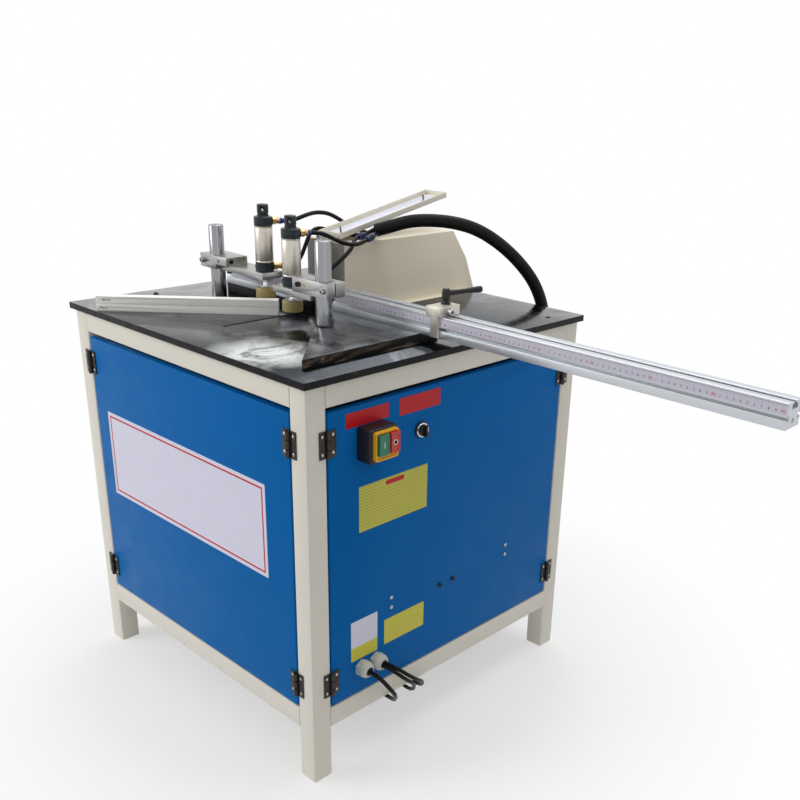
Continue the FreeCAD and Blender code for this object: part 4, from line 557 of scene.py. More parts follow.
BLUE_RING = Moulded("ring_blue", tone(38, 52, 150), 0.35, 0.00003, 0.2)
TUBE = Rubber("air_tube", tone(8, 8, 9), 0.34, 0.02)
SLEEVE = Rubber("hose_sleeve", tone(13, 13, 12), 0.5, 0.06)
SHEATH = Rubber("cable_sheath", tone(12, 12, 13), 0.45, 0.04)
BELT = Rubber("belt_rubber", tone(34, 33, 32), 0.65, 0.25)
AMBER = CastResin("pad_resin", tone(178, 160, 100), 0.4)
FOIL_WHITE = Foil("foil_white", tone(226, 225, 244), 0.35)
FOIL_RED = Foil("foil_red", tone(196, 14, 28), 0.4)
FOIL_YELLOW = Foil("foil_yellow", tone(214, 206, 74), 0.35)
FOIL_RULED = Foil("foil_ruled", tone(206, 200, 76), 0.35, 0.0058, tone(96, 132, 96))
FOIL_DARK = Foil("foil_dark", tone(40, 40, 36), 0.4)
FLAP_LINER = Foil("flap_liner", tone(220, 222, 236), 0.3)
TAPE_ZERO = 65.6
TAPE_TOP = 805.5
TAPE = RulerTape("ruler_tape", tone(208, 205, 220), 0.35, spot(TAPE_ZERO, 0, 0).x, TAPE_TOP * MM)


# Modelling

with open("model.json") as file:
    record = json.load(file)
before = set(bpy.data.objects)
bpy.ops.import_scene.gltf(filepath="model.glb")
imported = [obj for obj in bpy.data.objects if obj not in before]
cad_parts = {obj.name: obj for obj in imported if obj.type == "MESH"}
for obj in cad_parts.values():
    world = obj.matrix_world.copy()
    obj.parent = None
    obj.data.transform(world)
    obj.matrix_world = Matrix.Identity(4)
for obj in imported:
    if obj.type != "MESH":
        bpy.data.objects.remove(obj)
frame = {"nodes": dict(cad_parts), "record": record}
BODY_OF = {node: body for body, nodes in frame["record"]["behaviour"]["bodies"].items() for node in nodes}
Zone = tuple[Finish, Callable[[Vector, Vector], bool]]


class Kind(Enum):
    """What is picked in edit mode."""

    FACE = "FACE"
    EDGE = "EDGE"


def deselect() -> None:
    """Leave edit mode and deselect every object."""
    if bpy.context.mode != "OBJECT":
        bpy.ops.object.mode_set(mode="OBJECT")
    bpy.ops.object.select_all(action="DESELECT")


def select_only(*pieces: bpy.types.Object) -> None:
    """Select these pieces and make the first of them active."""
    deselect()
    for piece in pieces:
        piece.select_set(True)
    bpy.context.view_layer.objects.active = pieces[0]


def pick(piece: bpy.types.Object, kind: Kind, test: Callable[[object], bool]) -> None:
    """Open a piece in edit mode with some of its faces or edges selected.

    Args:
        piece: The piece.
        kind: Faces or edges.
        test: Says whether a face or edge is selected.
    """
    select_only(piece)
    bpy.ops.object.mode_set(mode="EDIT")
    bpy.ops.mesh.select_mode(type=kind.value)
    bpy.ops.mesh.select_all(action="DESELECT")
    mesh = bmesh.from_edit_mesh(piece.data)
    for item in mesh.faces if kind is Kind.FACE else mesh.edges:
        if test(item):
            item.select_set(True)
    bmesh.update_edit_mesh(piece.data)


def along(edge: bmesh.types.BMEdge, axis: Axis) -> bool:
    """Tell whether an edge runs along an axis."""
    run = edge.verts[1].co - edge.verts[0].co
    return run.length > 0 and abs(run.normalized().dot(axis.value)) > 0.999


def block(name: str, low: Point, high: Point) -> bpy.types.Object:
    """Add a cube shaped to fill the room between two corners.

    Args:
        name: Name of the piece.
        low: Lowest corner in millimetres.
        high: Highest corner in millimetres.

    Returns:
        The block.
    """
    deselect()
    first, last = spot(*low), spot(*high)
    bpy.ops.mesh.primitive_cube_add(size=1, location=(first + last) / 2, scale=last - first)
    piece = bpy.context.object
    piece.name = piece.data.name = name
    bpy.ops.object.transform_apply(location=True, rotation=True, scale=True)
    return piece


def rounded(piece: bpy.types.Object, width: float, segments: int = 2,
            angle: float = SHARP_ANGLE) -> bpy.types.Object:
    """Round the sharp edges of a piece.

    Args:
        piece: The piece.
        width: Width of the rounding in millimetres.
        segments: Faces across the rounding.
        angle: Smallest angle in degrees of an edge that is rounded.

    Returns:
        The same piece.
    """
    select_only(piece)
    bevel = piece.modifiers.new("rounding", "BEVEL")
    bevel.width = width * MM
    bevel.segments = segments
    bevel.limit_method = "ANGLE"
    bevel.angle_limit = math.radians(angle)
    bpy.ops.object.modifier_apply(modifier=bevel.name)
    bpy.ops.object.shade_smooth_by_angle(angle=math.radians(angle))
    return piece


def joined(name: str, pieces: Sequence[bpy.types.Object]) -> bpy.types.Object:
    """Join several pieces into one object."""
    select_only(*pieces)
    if len(pieces) > 1:
        bpy.ops.object.join()
    piece = bpy.context.view_layer.objects.active
    piece.name = piece.data.name = name
    return piece


def copied(piece: bpy.types.Object, shift: Point, name: str = "copy") -> bpy.types.Object:
    """Copy a piece with its own mesh to another place.

    Args:
        piece: The piece.
        shift: Way from the piece to the copy in millimetres.
        name: Name of the copy.

    Returns:
        The copy.
    """
    other = piece.copy()
    other.data = piece.data.copy()
    other.name = other.data.name = name
    other.data.transform(Matrix.Translation(Vector(shift) * MM))
    bpy.context.collection.objects.link(other)
    return other


def turned(name: str, centre: Point, way: Vector, profile: Sequence[tuple[float, float]], sides: int = 48,
           smooth: float = SHARP_ANGLE) -> bpy.types.Object:
    """Extrude a disc step by step into a turned piece.

    Args:
        name: Name of the piece.
        centre: Where the profile's lengths start, in millimetres.
        way: Direction of the piece's own axis.
        profile: Radius and length of each step in millimetres.
        sides: Sides of the disc, six for a hexagon.
        smooth: Angle in degrees up to which edges are shaded smooth.

    Returns:
        The piece.
    """
    deselect()
    (radius, length), *steps = profile
    bpy.ops.mesh.primitive_circle_add(vertices=sides, radius=radius * MM, fill_type="NGON",
                                      location=(0, 0, length * MM))
    piece = bpy.context.object
    piece.name = piece.data.name = name
    bpy.ops.object.transform_apply(location=True, rotation=True, scale=True)
    bpy.ops.object.mode_set(mode="EDIT")
    bpy.ops.mesh.select_all(action="SELECT")
    for next_radius, next_length in steps:
        rise = (next_length - length) * MM
        bpy.ops.mesh.extrude_region_move(TRANSFORM_OT_translate={"value": (0, 0, rise)})
        ratio = next_radius / radius
        if ratio != 1:
            bpy.ops.transform.resize(value=(ratio, ratio, 1), center_override=(0, 0, next_length * MM))
        radius, length = next_radius, next_length
    bpy.ops.mesh.select_all(action="SELECT")
    bpy.ops.mesh.normals_make_consistent(inside=False)
    bpy.ops.object.mode_set(mode="OBJECT")
    bpy.ops.object.shade_smooth_by_angle(angle=math.radians(smooth))
    turn = way.to_track_quat("Z", "Y").to_matrix().to_4x4()
    piece.data.transform(Matrix.Translation(spot(*centre)) @ turn)
    return piece


def hexagon(name: str, centre: Point, way: Vector,
            profile: Sequence[tuple[float, float]]) -> bpy.types.Object:
    """Turn a piece with six flats, such as a nut, and keep its corners sharp."""
    return turned(name, centre, way, profile, 6, smooth=20)


def about(centre: Vector, change: Matrix) -> Matrix:
    """Let a turn or a stretch happen about a point."""
    return Matrix.Translation(centre) @ change @ Matrix.Translation(-centre)


def pocketed(piece: bpy.types.Object, margin: float, depth: float) -> bpy.types.Object:
    """Sink a piece's right-hand face inside a margin.

    Args:
        piece: The piece.
        margin: Width of the rim that stays, in millimetres.
        depth: Depth of the pocket in millimetres.

    Returns:
        The same piece.
    """
    pick(piece, Kind.FACE, lambda face: face.normal.x > 0.9)
    bpy.ops.mesh.inset(thickness=margin * MM)
    bpy.ops.mesh.extrude_region_move(TRANSFORM_OT_translate={"value": (-depth * MM, 0, 0)})
    bpy.ops.object.mode_set(mode="OBJECT")
    return piece


def socket_screw(name: str, centre: Point, way: Vector, radius: float, height: float) -> bpy.types.Object:
    """A cylinder head with a chamfered rim and a socket.

    Args:
        name: Name of the screw.
        centre: Middle of the seat under the head, in millimetres.
        way: Direction in which the head stands.
        radius: Radius of the head.
        height: Height of the head.

    Returns:
        The screw's head.
    """
    rim, deep = radius * 0.12, height * 0.45
    return turned(name, centre, way, [(radius, 0), (radius, height - rim), (radius - rim, height),
                                      (radius * 0.55, height), (radius * 0.5, height - rim),
                                      (radius * 0.5, height - deep)], 24)


def painted(piece: bpy.types.Object, finish: Finish, zones: Sequence[Zone] = ()) -> bpy.types.Object:
    """Give a piece its finish, and other finishes to zones of its faces.

    Args:
        piece: The piece.
        finish: The finish of all that no zone claims.
        zones: Finishes, each with a test of a face's middle and normal.

    Returns:
        The same piece.
    """
    piece.data.materials.clear()
    for each in (finish, *(zone[0] for zone in zones)):
        piece.data.materials.append(each.material())
    for face in piece.data.polygons:
        claims = (i for i, zone in enumerate(zones, start=1) if zone[1](face.center, face.normal))
        face.material_index = next(claims, 0)
    return piece


def settled(piece: bpy.types.Object, like: str, *nodes: str) -> bpy.types.Object:
    """Let a finished piece ride with a node of the frame.

    Args:
        piece: The piece.
        like: The node whose body the piece shares.
        nodes: The nodes that it stands for.

    Returns:
        The same piece.
    """
    if nodes:
        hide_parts(*nodes)
    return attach(piece, BODY_OF[like])


def merged(node: str) -> bpy.types.Object:
    """Copy a node of the frame, with its triangles merged into whole faces.

    Args:
        node: The node.

    Returns:
        The copy, which rides on nothing yet.
    """
    source = frame["nodes"][node]
    piece = bpy.data.objects.new(f"{node}_dressed", source.data.copy())
    piece.data.name = piece.name
    bpy.context.collection.objects.link(piece)
    select_only(piece)
    bpy.ops.object.mode_set(mode="EDIT")
    bpy.ops.mesh.select_all(action="SELECT")
    bpy.ops.mesh.remove_doubles(threshold=1e-6)
    bpy.ops.mesh.dissolve_limited(angle_limit=math.radians(0.4))
    bpy.ops.object.mode_set(mode="OBJECT")
    return piece


def dressed(node: str, finish: Finish, width: float = 0.5, zones: Sequence[Zone] = ()) -> bpy.types.Object:
    """Stand a rounded copy of a node in its place.

    Args:
        node: The node.
        finish: Its finish.
        width: Width in millimetres of the rounding of its edges.
        zones: Other finishes for some of its faces.

    Returns:
        The copy.
    """
    piece = merged(node)
    if width:
        rounded(piece, width)
    return settled(painted(piece, finish, zones), node, node)


def softened(piece: bpy.types.Object, width: float, test: Callable[[bmesh.types.BMEdge], bool],
             segments: int = 3) -> bpy.types.Object:
    """Round chosen edges of a piece.

    Args:
        piece: The piece.
        width: Width of the rounding in millimetres.
        test: Says whether an edge is rounded.
        segments: Faces across the rounding.

    Returns:
        The same piece.
    """
    pick(piece, Kind.EDGE, test)
    bpy.ops.mesh.bevel(offset=width * MM, segments=segments, affect="EDGES")
    bpy.ops.object.mode_set(mode="OBJECT")
    bpy.ops.object.shade_smooth_by_angle(angle=math.radians(SHARP_ANGLE))
    return piece


def sharp(edge: bmesh.types.BMEdge, shortest: float) -> bool:
    """Tell whether an edge is an outer corner of the piece and at least so many millimetres long."""
    return edge.is_convex and edge.calc_face_angle(0.0) > 1.0 and edge.calc_length() > shortest * MM


def bored(piece: bpy.types.Object, cutter: bpy.types.Object) -> bpy.types.Object:
    """Cut the room of another piece out of a piece, and remove the other one."""
    select_only(piece)
    cut = piece.modifiers.new("bore", "BOOLEAN")
    cut.object = cutter
    cut.solver = "EXACT"
    bpy.ops.object.modifier_apply(modifier=cut.name)
    bpy.data.objects.remove(cutter)
    return piece


class Side(Enum):
    """The two clamps, as the operator sees them."""

    LEFT = "left"
    RIGHT = "right"


# Cabinet


@dataclass(frozen=True)
class Patch:
    """A bare foil on the switch panel, in some cases with a lower part of another finish."""

    name: str
    finish: Finish
    ends: tuple[float, float]
    levels: tuple[float, float]
    lower: Finish | None = None
    lower_top: float = 0.0
    lift: float = 0.0
    thick: float = 0.3
    corner: float = 1.6
    corner_faces: int = 3


@dataclass
class Cabinet:
    """Frame of square tube, folded panels, the sign door and their hinges."""

    tube_round: float = 3.0
    leg_edge: float = 600.0
    rail_edge: float = 200.0
    fold_round: float = 2.2
    fold_edge: float = 8.0
    corner_edge: float = 20.0
    half_x: float = 352.0
    half_y: float = 347.0
    sign: Room = ((-267, -347.7, 374), (240, -347, 549))
    sign_margin: float = 7.0
    sign_line: float = 3.5
    sign_corner: float = 1.5
    hinge_levels: tuple[float, float] = (170, 618)
    hinge_x: float = 310.5
    hinge_front: float = -349.0
    hinge_y: float = 305.5
    hinge_right: float = 354.0
    hinge_round: float = 0.35
    hinge_screws: tuple[float, float] = (8, 38)
    leaf_screw: float = 11.0
    pin_ends: tuple[float, float] = (-1, 47)
    pin_near: float = 0.8
    patches: tuple[Patch, ...] = (
        Patch("foil_switch", FOIL_RED, (-267, -172), (656.5, 682)),
        Patch("foil_selector", FOIL_RED, (-147, -48), (652, 683)),
        Patch("foil_notes", FOIL_RULED, (-239, -76), (464, 548)),
        Patch("foil_plain", FOIL_YELLOW, (-179, -77), (218, 269)),
        Patch("foil_two_tone", FOIL_WHITE, (-259, -196), (215, 295), lower=FOIL_YELLOW, lower_top=242),
        Patch("foil_notes_bar", FOIL_RED, (-178, -134), (535, 543.5), lift=0.3, thick=0.1, corner=3.6,
              corner_faces=5))
    gear_screws: tuple[tuple[float, float], ...] = ((158, 286), (158, 307), (-162, 290), (-162, 310))
    gear_screw: tuple[float, float] = (3.8, 1.8)
    clip_bolts: tuple[tuple[float, float], ...] = ((-34, 287), (2, 288))
    clip_bolt: tuple[float, float] = (4.8, 3.2)

    def build(self) -> list[bpy.types.Object]:
        """Build the frame, panels, door, hinges, foils and screws."""
        return [*self.frame(), *self.panels(), self.sign_plate(), *self.hinges(), *self.foils(), self.screws()]

    def frame(self) -> list[bpy.types.Object]:
        """Round the legs' and rails' long edges and paint them."""
        legs = softened(merged("frame_legs"), self.tube_round,
                        lambda edge: sharp(edge, self.leg_edge) and along(edge, Axis.Z))
        rails = softened(merged("frame_rails"), self.tube_round, lambda edge: sharp(edge, self.rail_edge))
        return [settled(painted(legs, CREAM), "frame_legs", "frame_legs"),
                settled(painted(rails, CREAM), "frame_rails", "frame_rails")]

    def panels(self) -> list[bpy.types.Object]:
        """Give the folded panels their bend radius and blue paint."""
        planes = {"sign_door": ((1, -self.half_y),), "switch_panel": ((0, self.half_x),),
                  "side_panels": ((0, -self.half_x), (1, self.half_y))}
        pieces = []
        for node, outside in planes.items():
            limits = [(axis, spot(place, place, 0)[axis]) for axis, place in outside]

            def folded(edge: bmesh.types.BMEdge) -> bool:
                """Tell whether an edge is a bend of an outer face, or a short one that leads into it."""
                ends = [[abs(vertex.co[axis] - place) < SAME_PLACE for axis, place in limits]
                        for vertex in edge.verts]
                flat = any(first and last for first, last in zip(*ends))
                short = edge.calc_length() < self.corner_edge * MM
                corner = any(first or last for first, last in zip(*ends)) and short
                return sharp(edge, self.fold_edge) and (flat or corner)

            piece = softened(merged(node), self.fold_round, folded)
            pieces.append(settled(painted(piece, BLUE), node, node))
        return pieces

    def sign_plate(self) -> bpy.types.Object:
        """Make the bare white plate on the door, with a red line round it."""
        low, high = self.sign
        piece = block("sign_plate", low, high)
        front = spot(*low).y
        pick(piece, Kind.FACE, lambda face: face.normal.y < -0.5)
        bpy.ops.mesh.inset(thickness=self.sign_margin * MM)
        bpy.ops.mesh.inset(thickness=self.sign_line * MM)
        bpy.ops.object.mode_set(mode="OBJECT")
        first, last = spot(*low), spot(*high)
        line = self.sign_margin + self.sign_line / 2

        def on_line(middle: Vector, normal: Vector) -> bool:
            """Tell whether a face is part of the red line."""
            edge = min(middle.x - first.x, last.x - middle.x, middle.z - first.z, last.z - middle.z)
            return abs(middle.y - front) < SAME_PLACE and abs(edge / MM - line) < 1

        softened(piece, self.sign_corner, lambda edge: along(edge, Axis.Y))
        return settled(painted(piece, FOIL_WHITE, [(FOIL_RED, on_line)]), "sign_door")

    def hinges(self) -> list[bpy.types.Object]:
        """Dress the butt hinges: black leaves, bright pins and screws."""
        ends = [(level + end) * MM for level in self.hinge_levels for end in self.pin_ends]

        def pin(middle: Vector, normal: Vector) -> bool:
            """Tell whether a face is an end of a hinge's pin."""
            return abs(normal.z) > 0.5 and any(abs(middle.z - end) < self.pin_near * MM for end in ends)

        leaves = [dressed("door_hinge_leaves", HINGE_BLACK, self.hinge_round),
                  dressed("frame_hinge_leaves", HINGE_BLACK, self.hinge_round, [(STEEL, pin)])]
        screw = self.flat_screw("hinge_screw")
        rows: dict[str, list[bpy.types.Object]] = {"door_hinge_leaves": [], "frame_hinge_leaves": []}
        for level, rise, side, reach in product(self.hinge_levels, self.hinge_screws, (-1, 1), (-1, 1)):
            out, height = reach * self.leaf_screw, level + rise
            front = copied(screw, (side * self.hinge_x + out, self.hinge_front, height))
            rows["door_hinge_leaves" if side * reach < 0 else "frame_hinge_leaves"].append(front)
            flank = copied(screw, (0, 0, 0))
            flank.data.transform(Matrix.Rotation(math.pi / 2, 4, "Z"))
            place = Vector((self.hinge_right, side * self.hinge_y + out, height)) * MM
            flank.data.transform(Matrix.Translation(place))
            rows["frame_hinge_leaves"].append(flank)
        bpy.data.objects.remove(screw)
        shift = Matrix.Translation(spot(0, 0, 0))
        for node, screws in rows.items():
            piece = joined(f"{node}_screws", screws)
            piece.data.transform(shift)
            leaves.append(settled(painted(piece, STEEL), node))
        return leaves

    def flat_screw(self, name: str) -> bpy.types.Object:
        """A small domed screw head that looks towards the operator, at the origin of its own mesh."""
        profile = [(2.7, -0.2), (2.7, 0.3), (2.2, 0.7), (1.1, 0.85), (0.9, 0.4)]
        piece = turned(name, (0, 0, 0), -Axis.Y.value, profile, 16)
        piece.data.transform(Matrix.Translation(-spot(0, 0, 0)))
        return piece

    def foils(self) -> list[bpy.types.Object]:
        """Stick the bare foils on the switch panel."""
        pieces = []
        for patch in self.patches:
            (near, far), (low, high), seat = patch.ends, patch.levels, self.half_x + patch.lift
            piece = block(patch.name, (seat, near, low), (seat + patch.thick, far, high))
            zones: list[Zone] = []
            if patch.lower:
                self.split(piece, spot(0, 0, patch.lower_top))
                zones.append((patch.lower, lambda middle, normal: middle.z < patch.lower_top * MM))
            softened(piece, patch.corner, lambda edge: along(edge, Axis.X), patch.corner_faces)
            pieces.append(settled(painted(piece, patch.finish, zones), "switch_panel"))
        return pieces

    def split(self, piece: bpy.types.Object, level: Vector) -> None:
        """Cut a piece's faces along a level."""
        pick(piece, Kind.FACE, lambda face: True)
        bpy.ops.mesh.bisect(plane_co=level, plane_no=(0, 0, 1))
        bpy.ops.object.mode_set(mode="OBJECT")

    def screws(self) -> bpy.types.Object:
        """Set the screws that hold the control gear and the cable clips to the panel."""
        rows = (("panel_screw", self.gear_screws, self.gear_screw, STEEL),
                ("panel_bolt", self.clip_bolts, self.clip_bolt, BLACK_OXIDE))
        heads = [painted(socket_screw(name, (self.half_x, *place), Axis.X.value, *size), finish)
                 for name, places, size, finish in rows for place in places]
        return settled(joined("panel_screws", heads), "switch_panel")


# Table, posts and fences


@dataclass
class Table:
    """Ground plate, the raised plates on it, and the two ground posts."""

    top: float = 752.0
    post_radius: float = 14.5
    post_length: float = 147.0
    posts: tuple[Point, ...] = ((-200, -116, 752), (158, -145, 770))
    plate_screws: tuple[tuple[float, float], ...] = ((327, 281), (270, 340), (-327, -184))
    guard_screws: tuple[tuple[float, float], tuple[float, float]] = ((-72, 58), (30, 283))
    guard_foot: float = 754.0
    fence_screws: tuple[Point, ...] = ((80, -56.5, 791), (-252, -56.5, 791))

    def build(self) -> list[bpy.types.Object]:
        """Build plates, screws and posts."""
        return [self.plate("table_plate", TABLE, BLACK_EDGE),
                self.plate("raised_plates", RAISED, RAISED_EDGE), self.screws(), self.post_pair()]

    def plate(self, node: str, top: Finish, edge: Finish) -> bpy.types.Object:
        """Dress a plate with a ground top and dark sides."""
        return dressed(node, edge, 0.7, [(top, lambda middle, normal: normal.z > 0.7)])

    def screws(self) -> bpy.types.Object:
        """Set the dark screws of the plate, the guard and the fences."""
        heads = [socket_screw("plate_screw", (*place, self.top), Axis.Z.value, 5, 1.2)
                 for place in self.plate_screws]
        for place in product(*self.guard_screws):
            heads.append(hexagon("guard_screw", (*place, self.guard_foot), Axis.Z.value, [
                (5.2, 0), (5.2, 0.8), (4.3, 0.8), (4.6, 1.0), (4.6, 3.4), (4.1, 4.0)]))
        for place in self.fence_screws:
            heads.append(socket_screw("fence_screw", place, -Axis.Y.value, 3, 1.5))
        piece = joined("plate_guard_and_fence_screws", heads)
        return settled(painted(piece, BLACK_OXIDE), "table_screws", "table_screws")

    def post_pair(self) -> bpy.types.Object:
        """Turn the two posts, each with a dark ring at its foot and a centre hole on top."""
        pieces, r, h = [], self.post_radius, self.post_length
        for place in self.posts:
            pieces.append(painted(turned("post", place, Axis.Z.value, [
                (r - 0.6, 0), (r - 0.6, 2.4), (r, 3), (r, h - 1.6), (r - 0.5, h - 0.7), (r - 1.6, h),
                (2.6, h), (2.2, h - 3)], 64), POST))
            pieces.append(painted(turned("post_ring", place, Axis.Z.value, [
                (r + 1.2, 0), (r + 1.2, 1.2), (r + 0.5, 1.8), (r - 0.4, 1.8)], 64), BLACK_OXIDE))
        return settled(joined("clamp_posts_ground", pieces), "clamp_posts", "clamp_posts")


@dataclass
class Fences:
    """Two lengths of fence extrusion with ruler tape, and the bar at 45 degrees."""

    front: float = -56.5
    tape_low: float = 790.0
    tape_high: float = TAPE_TOP
    tape_thick: float = 0.1
    tape_inset: float = 0.4
    right: tuple[float, float] = (72, 972)
    left: tuple[float, float] = (-258, -45)
    zero: float = TAPE_ZERO
    left_zero: float = -4.4
    digit: float = 5.4
    ten: float = 6.6
    number_rise: float = 3.2
    number_room: float = 3.0
    print_gap: float = 0.04
    bolt_level: float = 779.0

    def build(self) -> list[bpy.types.Object]:
        """Build the fences, their tape and numbers."""
        return [dressed("fence_right", EXTRUSION, 0.25), dressed("fence_left", EXTRUSION, 0.25),
                dressed("angle_fence", FLAT_BAR, 0.4), *self.tapes(), self.bolts()]

    def tapes(self) -> list[bpy.types.Object]:
        """Stick ruler tape on both fences and print its numbers."""
        pieces = []
        spans = (("right", self.right, self.zero, 1), ("left", self.left, self.left_zero, -1))
        for side, (start, end), zero, way in spans:
            low = (start + self.tape_inset, self.front - self.tape_thick, self.tape_low)
            tape = block(f"ruler_tape_{side}", low, (end - self.tape_inset, self.front, self.tape_high))
            pieces.append(settled(painted(tape, TAPE), f"fence_{side}"))
            places = ((n, zero + way * 10 * n) for n in range(1, 100))
            numbers = [self.number(n, x) for n, x in places
                       if start + self.number_room < x < end - self.number_room]
            pieces.append(settled(joined(f"ruler_numbers_{side}", numbers), f"fence_{side}"))
        return pieces

    def number(self, count: int, x: float) -> bpy.types.Object:
        """Print one number of the tape, the tens larger and red."""
        tens = count % 10 == 0
        deselect()
        bpy.ops.object.text_add(location=(0, 0, 0))
        piece = bpy.context.object
        piece.data.body = str(count if tens else count % 10)
        piece.data.align_x = "CENTER"
        piece.data.size = (self.ten if tens else self.digit) * MM
        piece.data.resolution_u = 2
        bpy.ops.object.convert(target="MESH")
        place = spot(x, self.front - self.tape_thick - self.print_gap, self.tape_low + self.number_rise)
        piece.data.transform(Matrix.Translation(place) @ Matrix.Rotation(math.pi / 2, 4, "X"))
        return painted(piece, FOIL_RED if tens else FOIL_DARK)

    def bolts(self) -> bpy.types.Object:
        """Set the dark bolts at the ends of the fences beside the saw slot."""
        rows = ((self.left[1], -46, Axis.X.value, 5.5, 6), (self.left[1], -27, Axis.X.value, 4.5, 5),
                (self.right[0], -46, -Axis.X.value, 5.5, 6))
        heads = [socket_screw("fence_bolt", (x, y, self.bolt_level), way, radius, height)
                 for x, y, way, radius, height in rows]
        return settled(painted(joined("fence_end_bolts", heads), BLACK_OXIDE), "table_screws")


# Length stop


@dataclass
class LengthStop:
    """Saddle on the long fence with its socket screw and ratchet lever."""

    right: float = 357.0
    screw_at: tuple[float, float] = (-42, 815.2)
    hub: Point = (341, -29.5, 823.4)
    hub_height: float = 27.0
    arm_way: Point = (0.700, 0.700, 0.139)
    arm: float = 62.0

    def build(self) -> list[bpy.types.Object]:
        """Build the saddle, screw and lever."""
        return [dressed("stop_block", STOP, 0.7), self.screw(), self.lever()]

    def screw(self) -> bpy.types.Object:
        """Turn the knurled socket screw, with a bright washer behind its head."""
        y, z = self.screw_at
        head = turned("stop_screw_head", (self.right, y, z), Axis.X.value, [
            (5.4, 1), (6, 1.5), (6, 11.2), (5.4, 12), (3.1, 12), (2.8, 11.6), (2.8, 6)], 40, smooth=6)
        washer = turned("stop_screw_washer", (self.right, y, z), Axis.X.value,
                        [(6.8, 0), (6.8, 0.8), (6.4, 1.1)], 40)
        piece = joined("stop_screw_knurled", [painted(head, STEEL), painted(washer, STEEL)])
        return settled(piece, "stop_screw", "stop_screw")

    def lever(self) -> bpy.types.Object:
        """Mould the ratchet lever: fluted hub, waisted arm with a thick end, and its screw."""
        (x, y, z), h = self.hub, self.hub_height
        hub = turned("lever_hub", self.hub, Axis.Z.value, [
            (8, 0), (8.5, 0.6), (8.5, 2.4), (7.4, 3), (6.2, 5), (6.4, 7.5), (7, 10), (7.2, 16), (7.2, 21),
            (6.6, 24), (5.6, 26), (4.6, h), (3.4, h), (3.2, h - 1.4)], 18, smooth=14)
        screw = socket_screw("lever_screw", (x, y, z + h - 1.6), Axis.Z.value, 3.1, 1.4)
        arm = turned("lever_arm", (x, y, z + h - 8), Vector(self.arm_way).normalized(), [
            (5.2, 3), (4.6, 9), (3.7, 20), (3.9, 34), (4.9, 46), (5.5, 53), (5.6, 57), (5.0, 60),
            (3.4, self.arm)], 28)
        washer = turned("lever_washer", self.hub, Axis.Z.value, [(9.6, -0.2), (9.6, 0.5), (9.2, 0.6)], 40)
        piece = joined("ratchet_lever", [painted(hub, BLACK_PLASTIC), painted(screw, STEEL),
                                         painted(arm, BLACK_PLASTIC), painted(washer, STEEL)])
        return settled(piece, "stop_lever", "stop_lever")


# Clamps


@dataclass(frozen=True)
class BlockScrew:
    """A screw in a clamp's block, a grub screw nearly flush with its face where it has no height."""

    place: Point
    way: Vector
    radius: float
    height: float = 0.0
    finish: Finish = BLACK_OXIDE

    def head(self) -> bpy.types.Object:
        """Turn what shows of the screw."""
        r = self.radius
        if self.height:
            return painted(socket_screw("block_screw", self.place, self.way, r, self.height), self.finish)
        profile = [(r, -0.4), (r, 0.2), (r - 0.3, 0.5), (r * 0.55, 0.5), (r * 0.5, -0.3)]
        return painted(turned("grub_screw", self.place, self.way, profile, 20), self.finish)


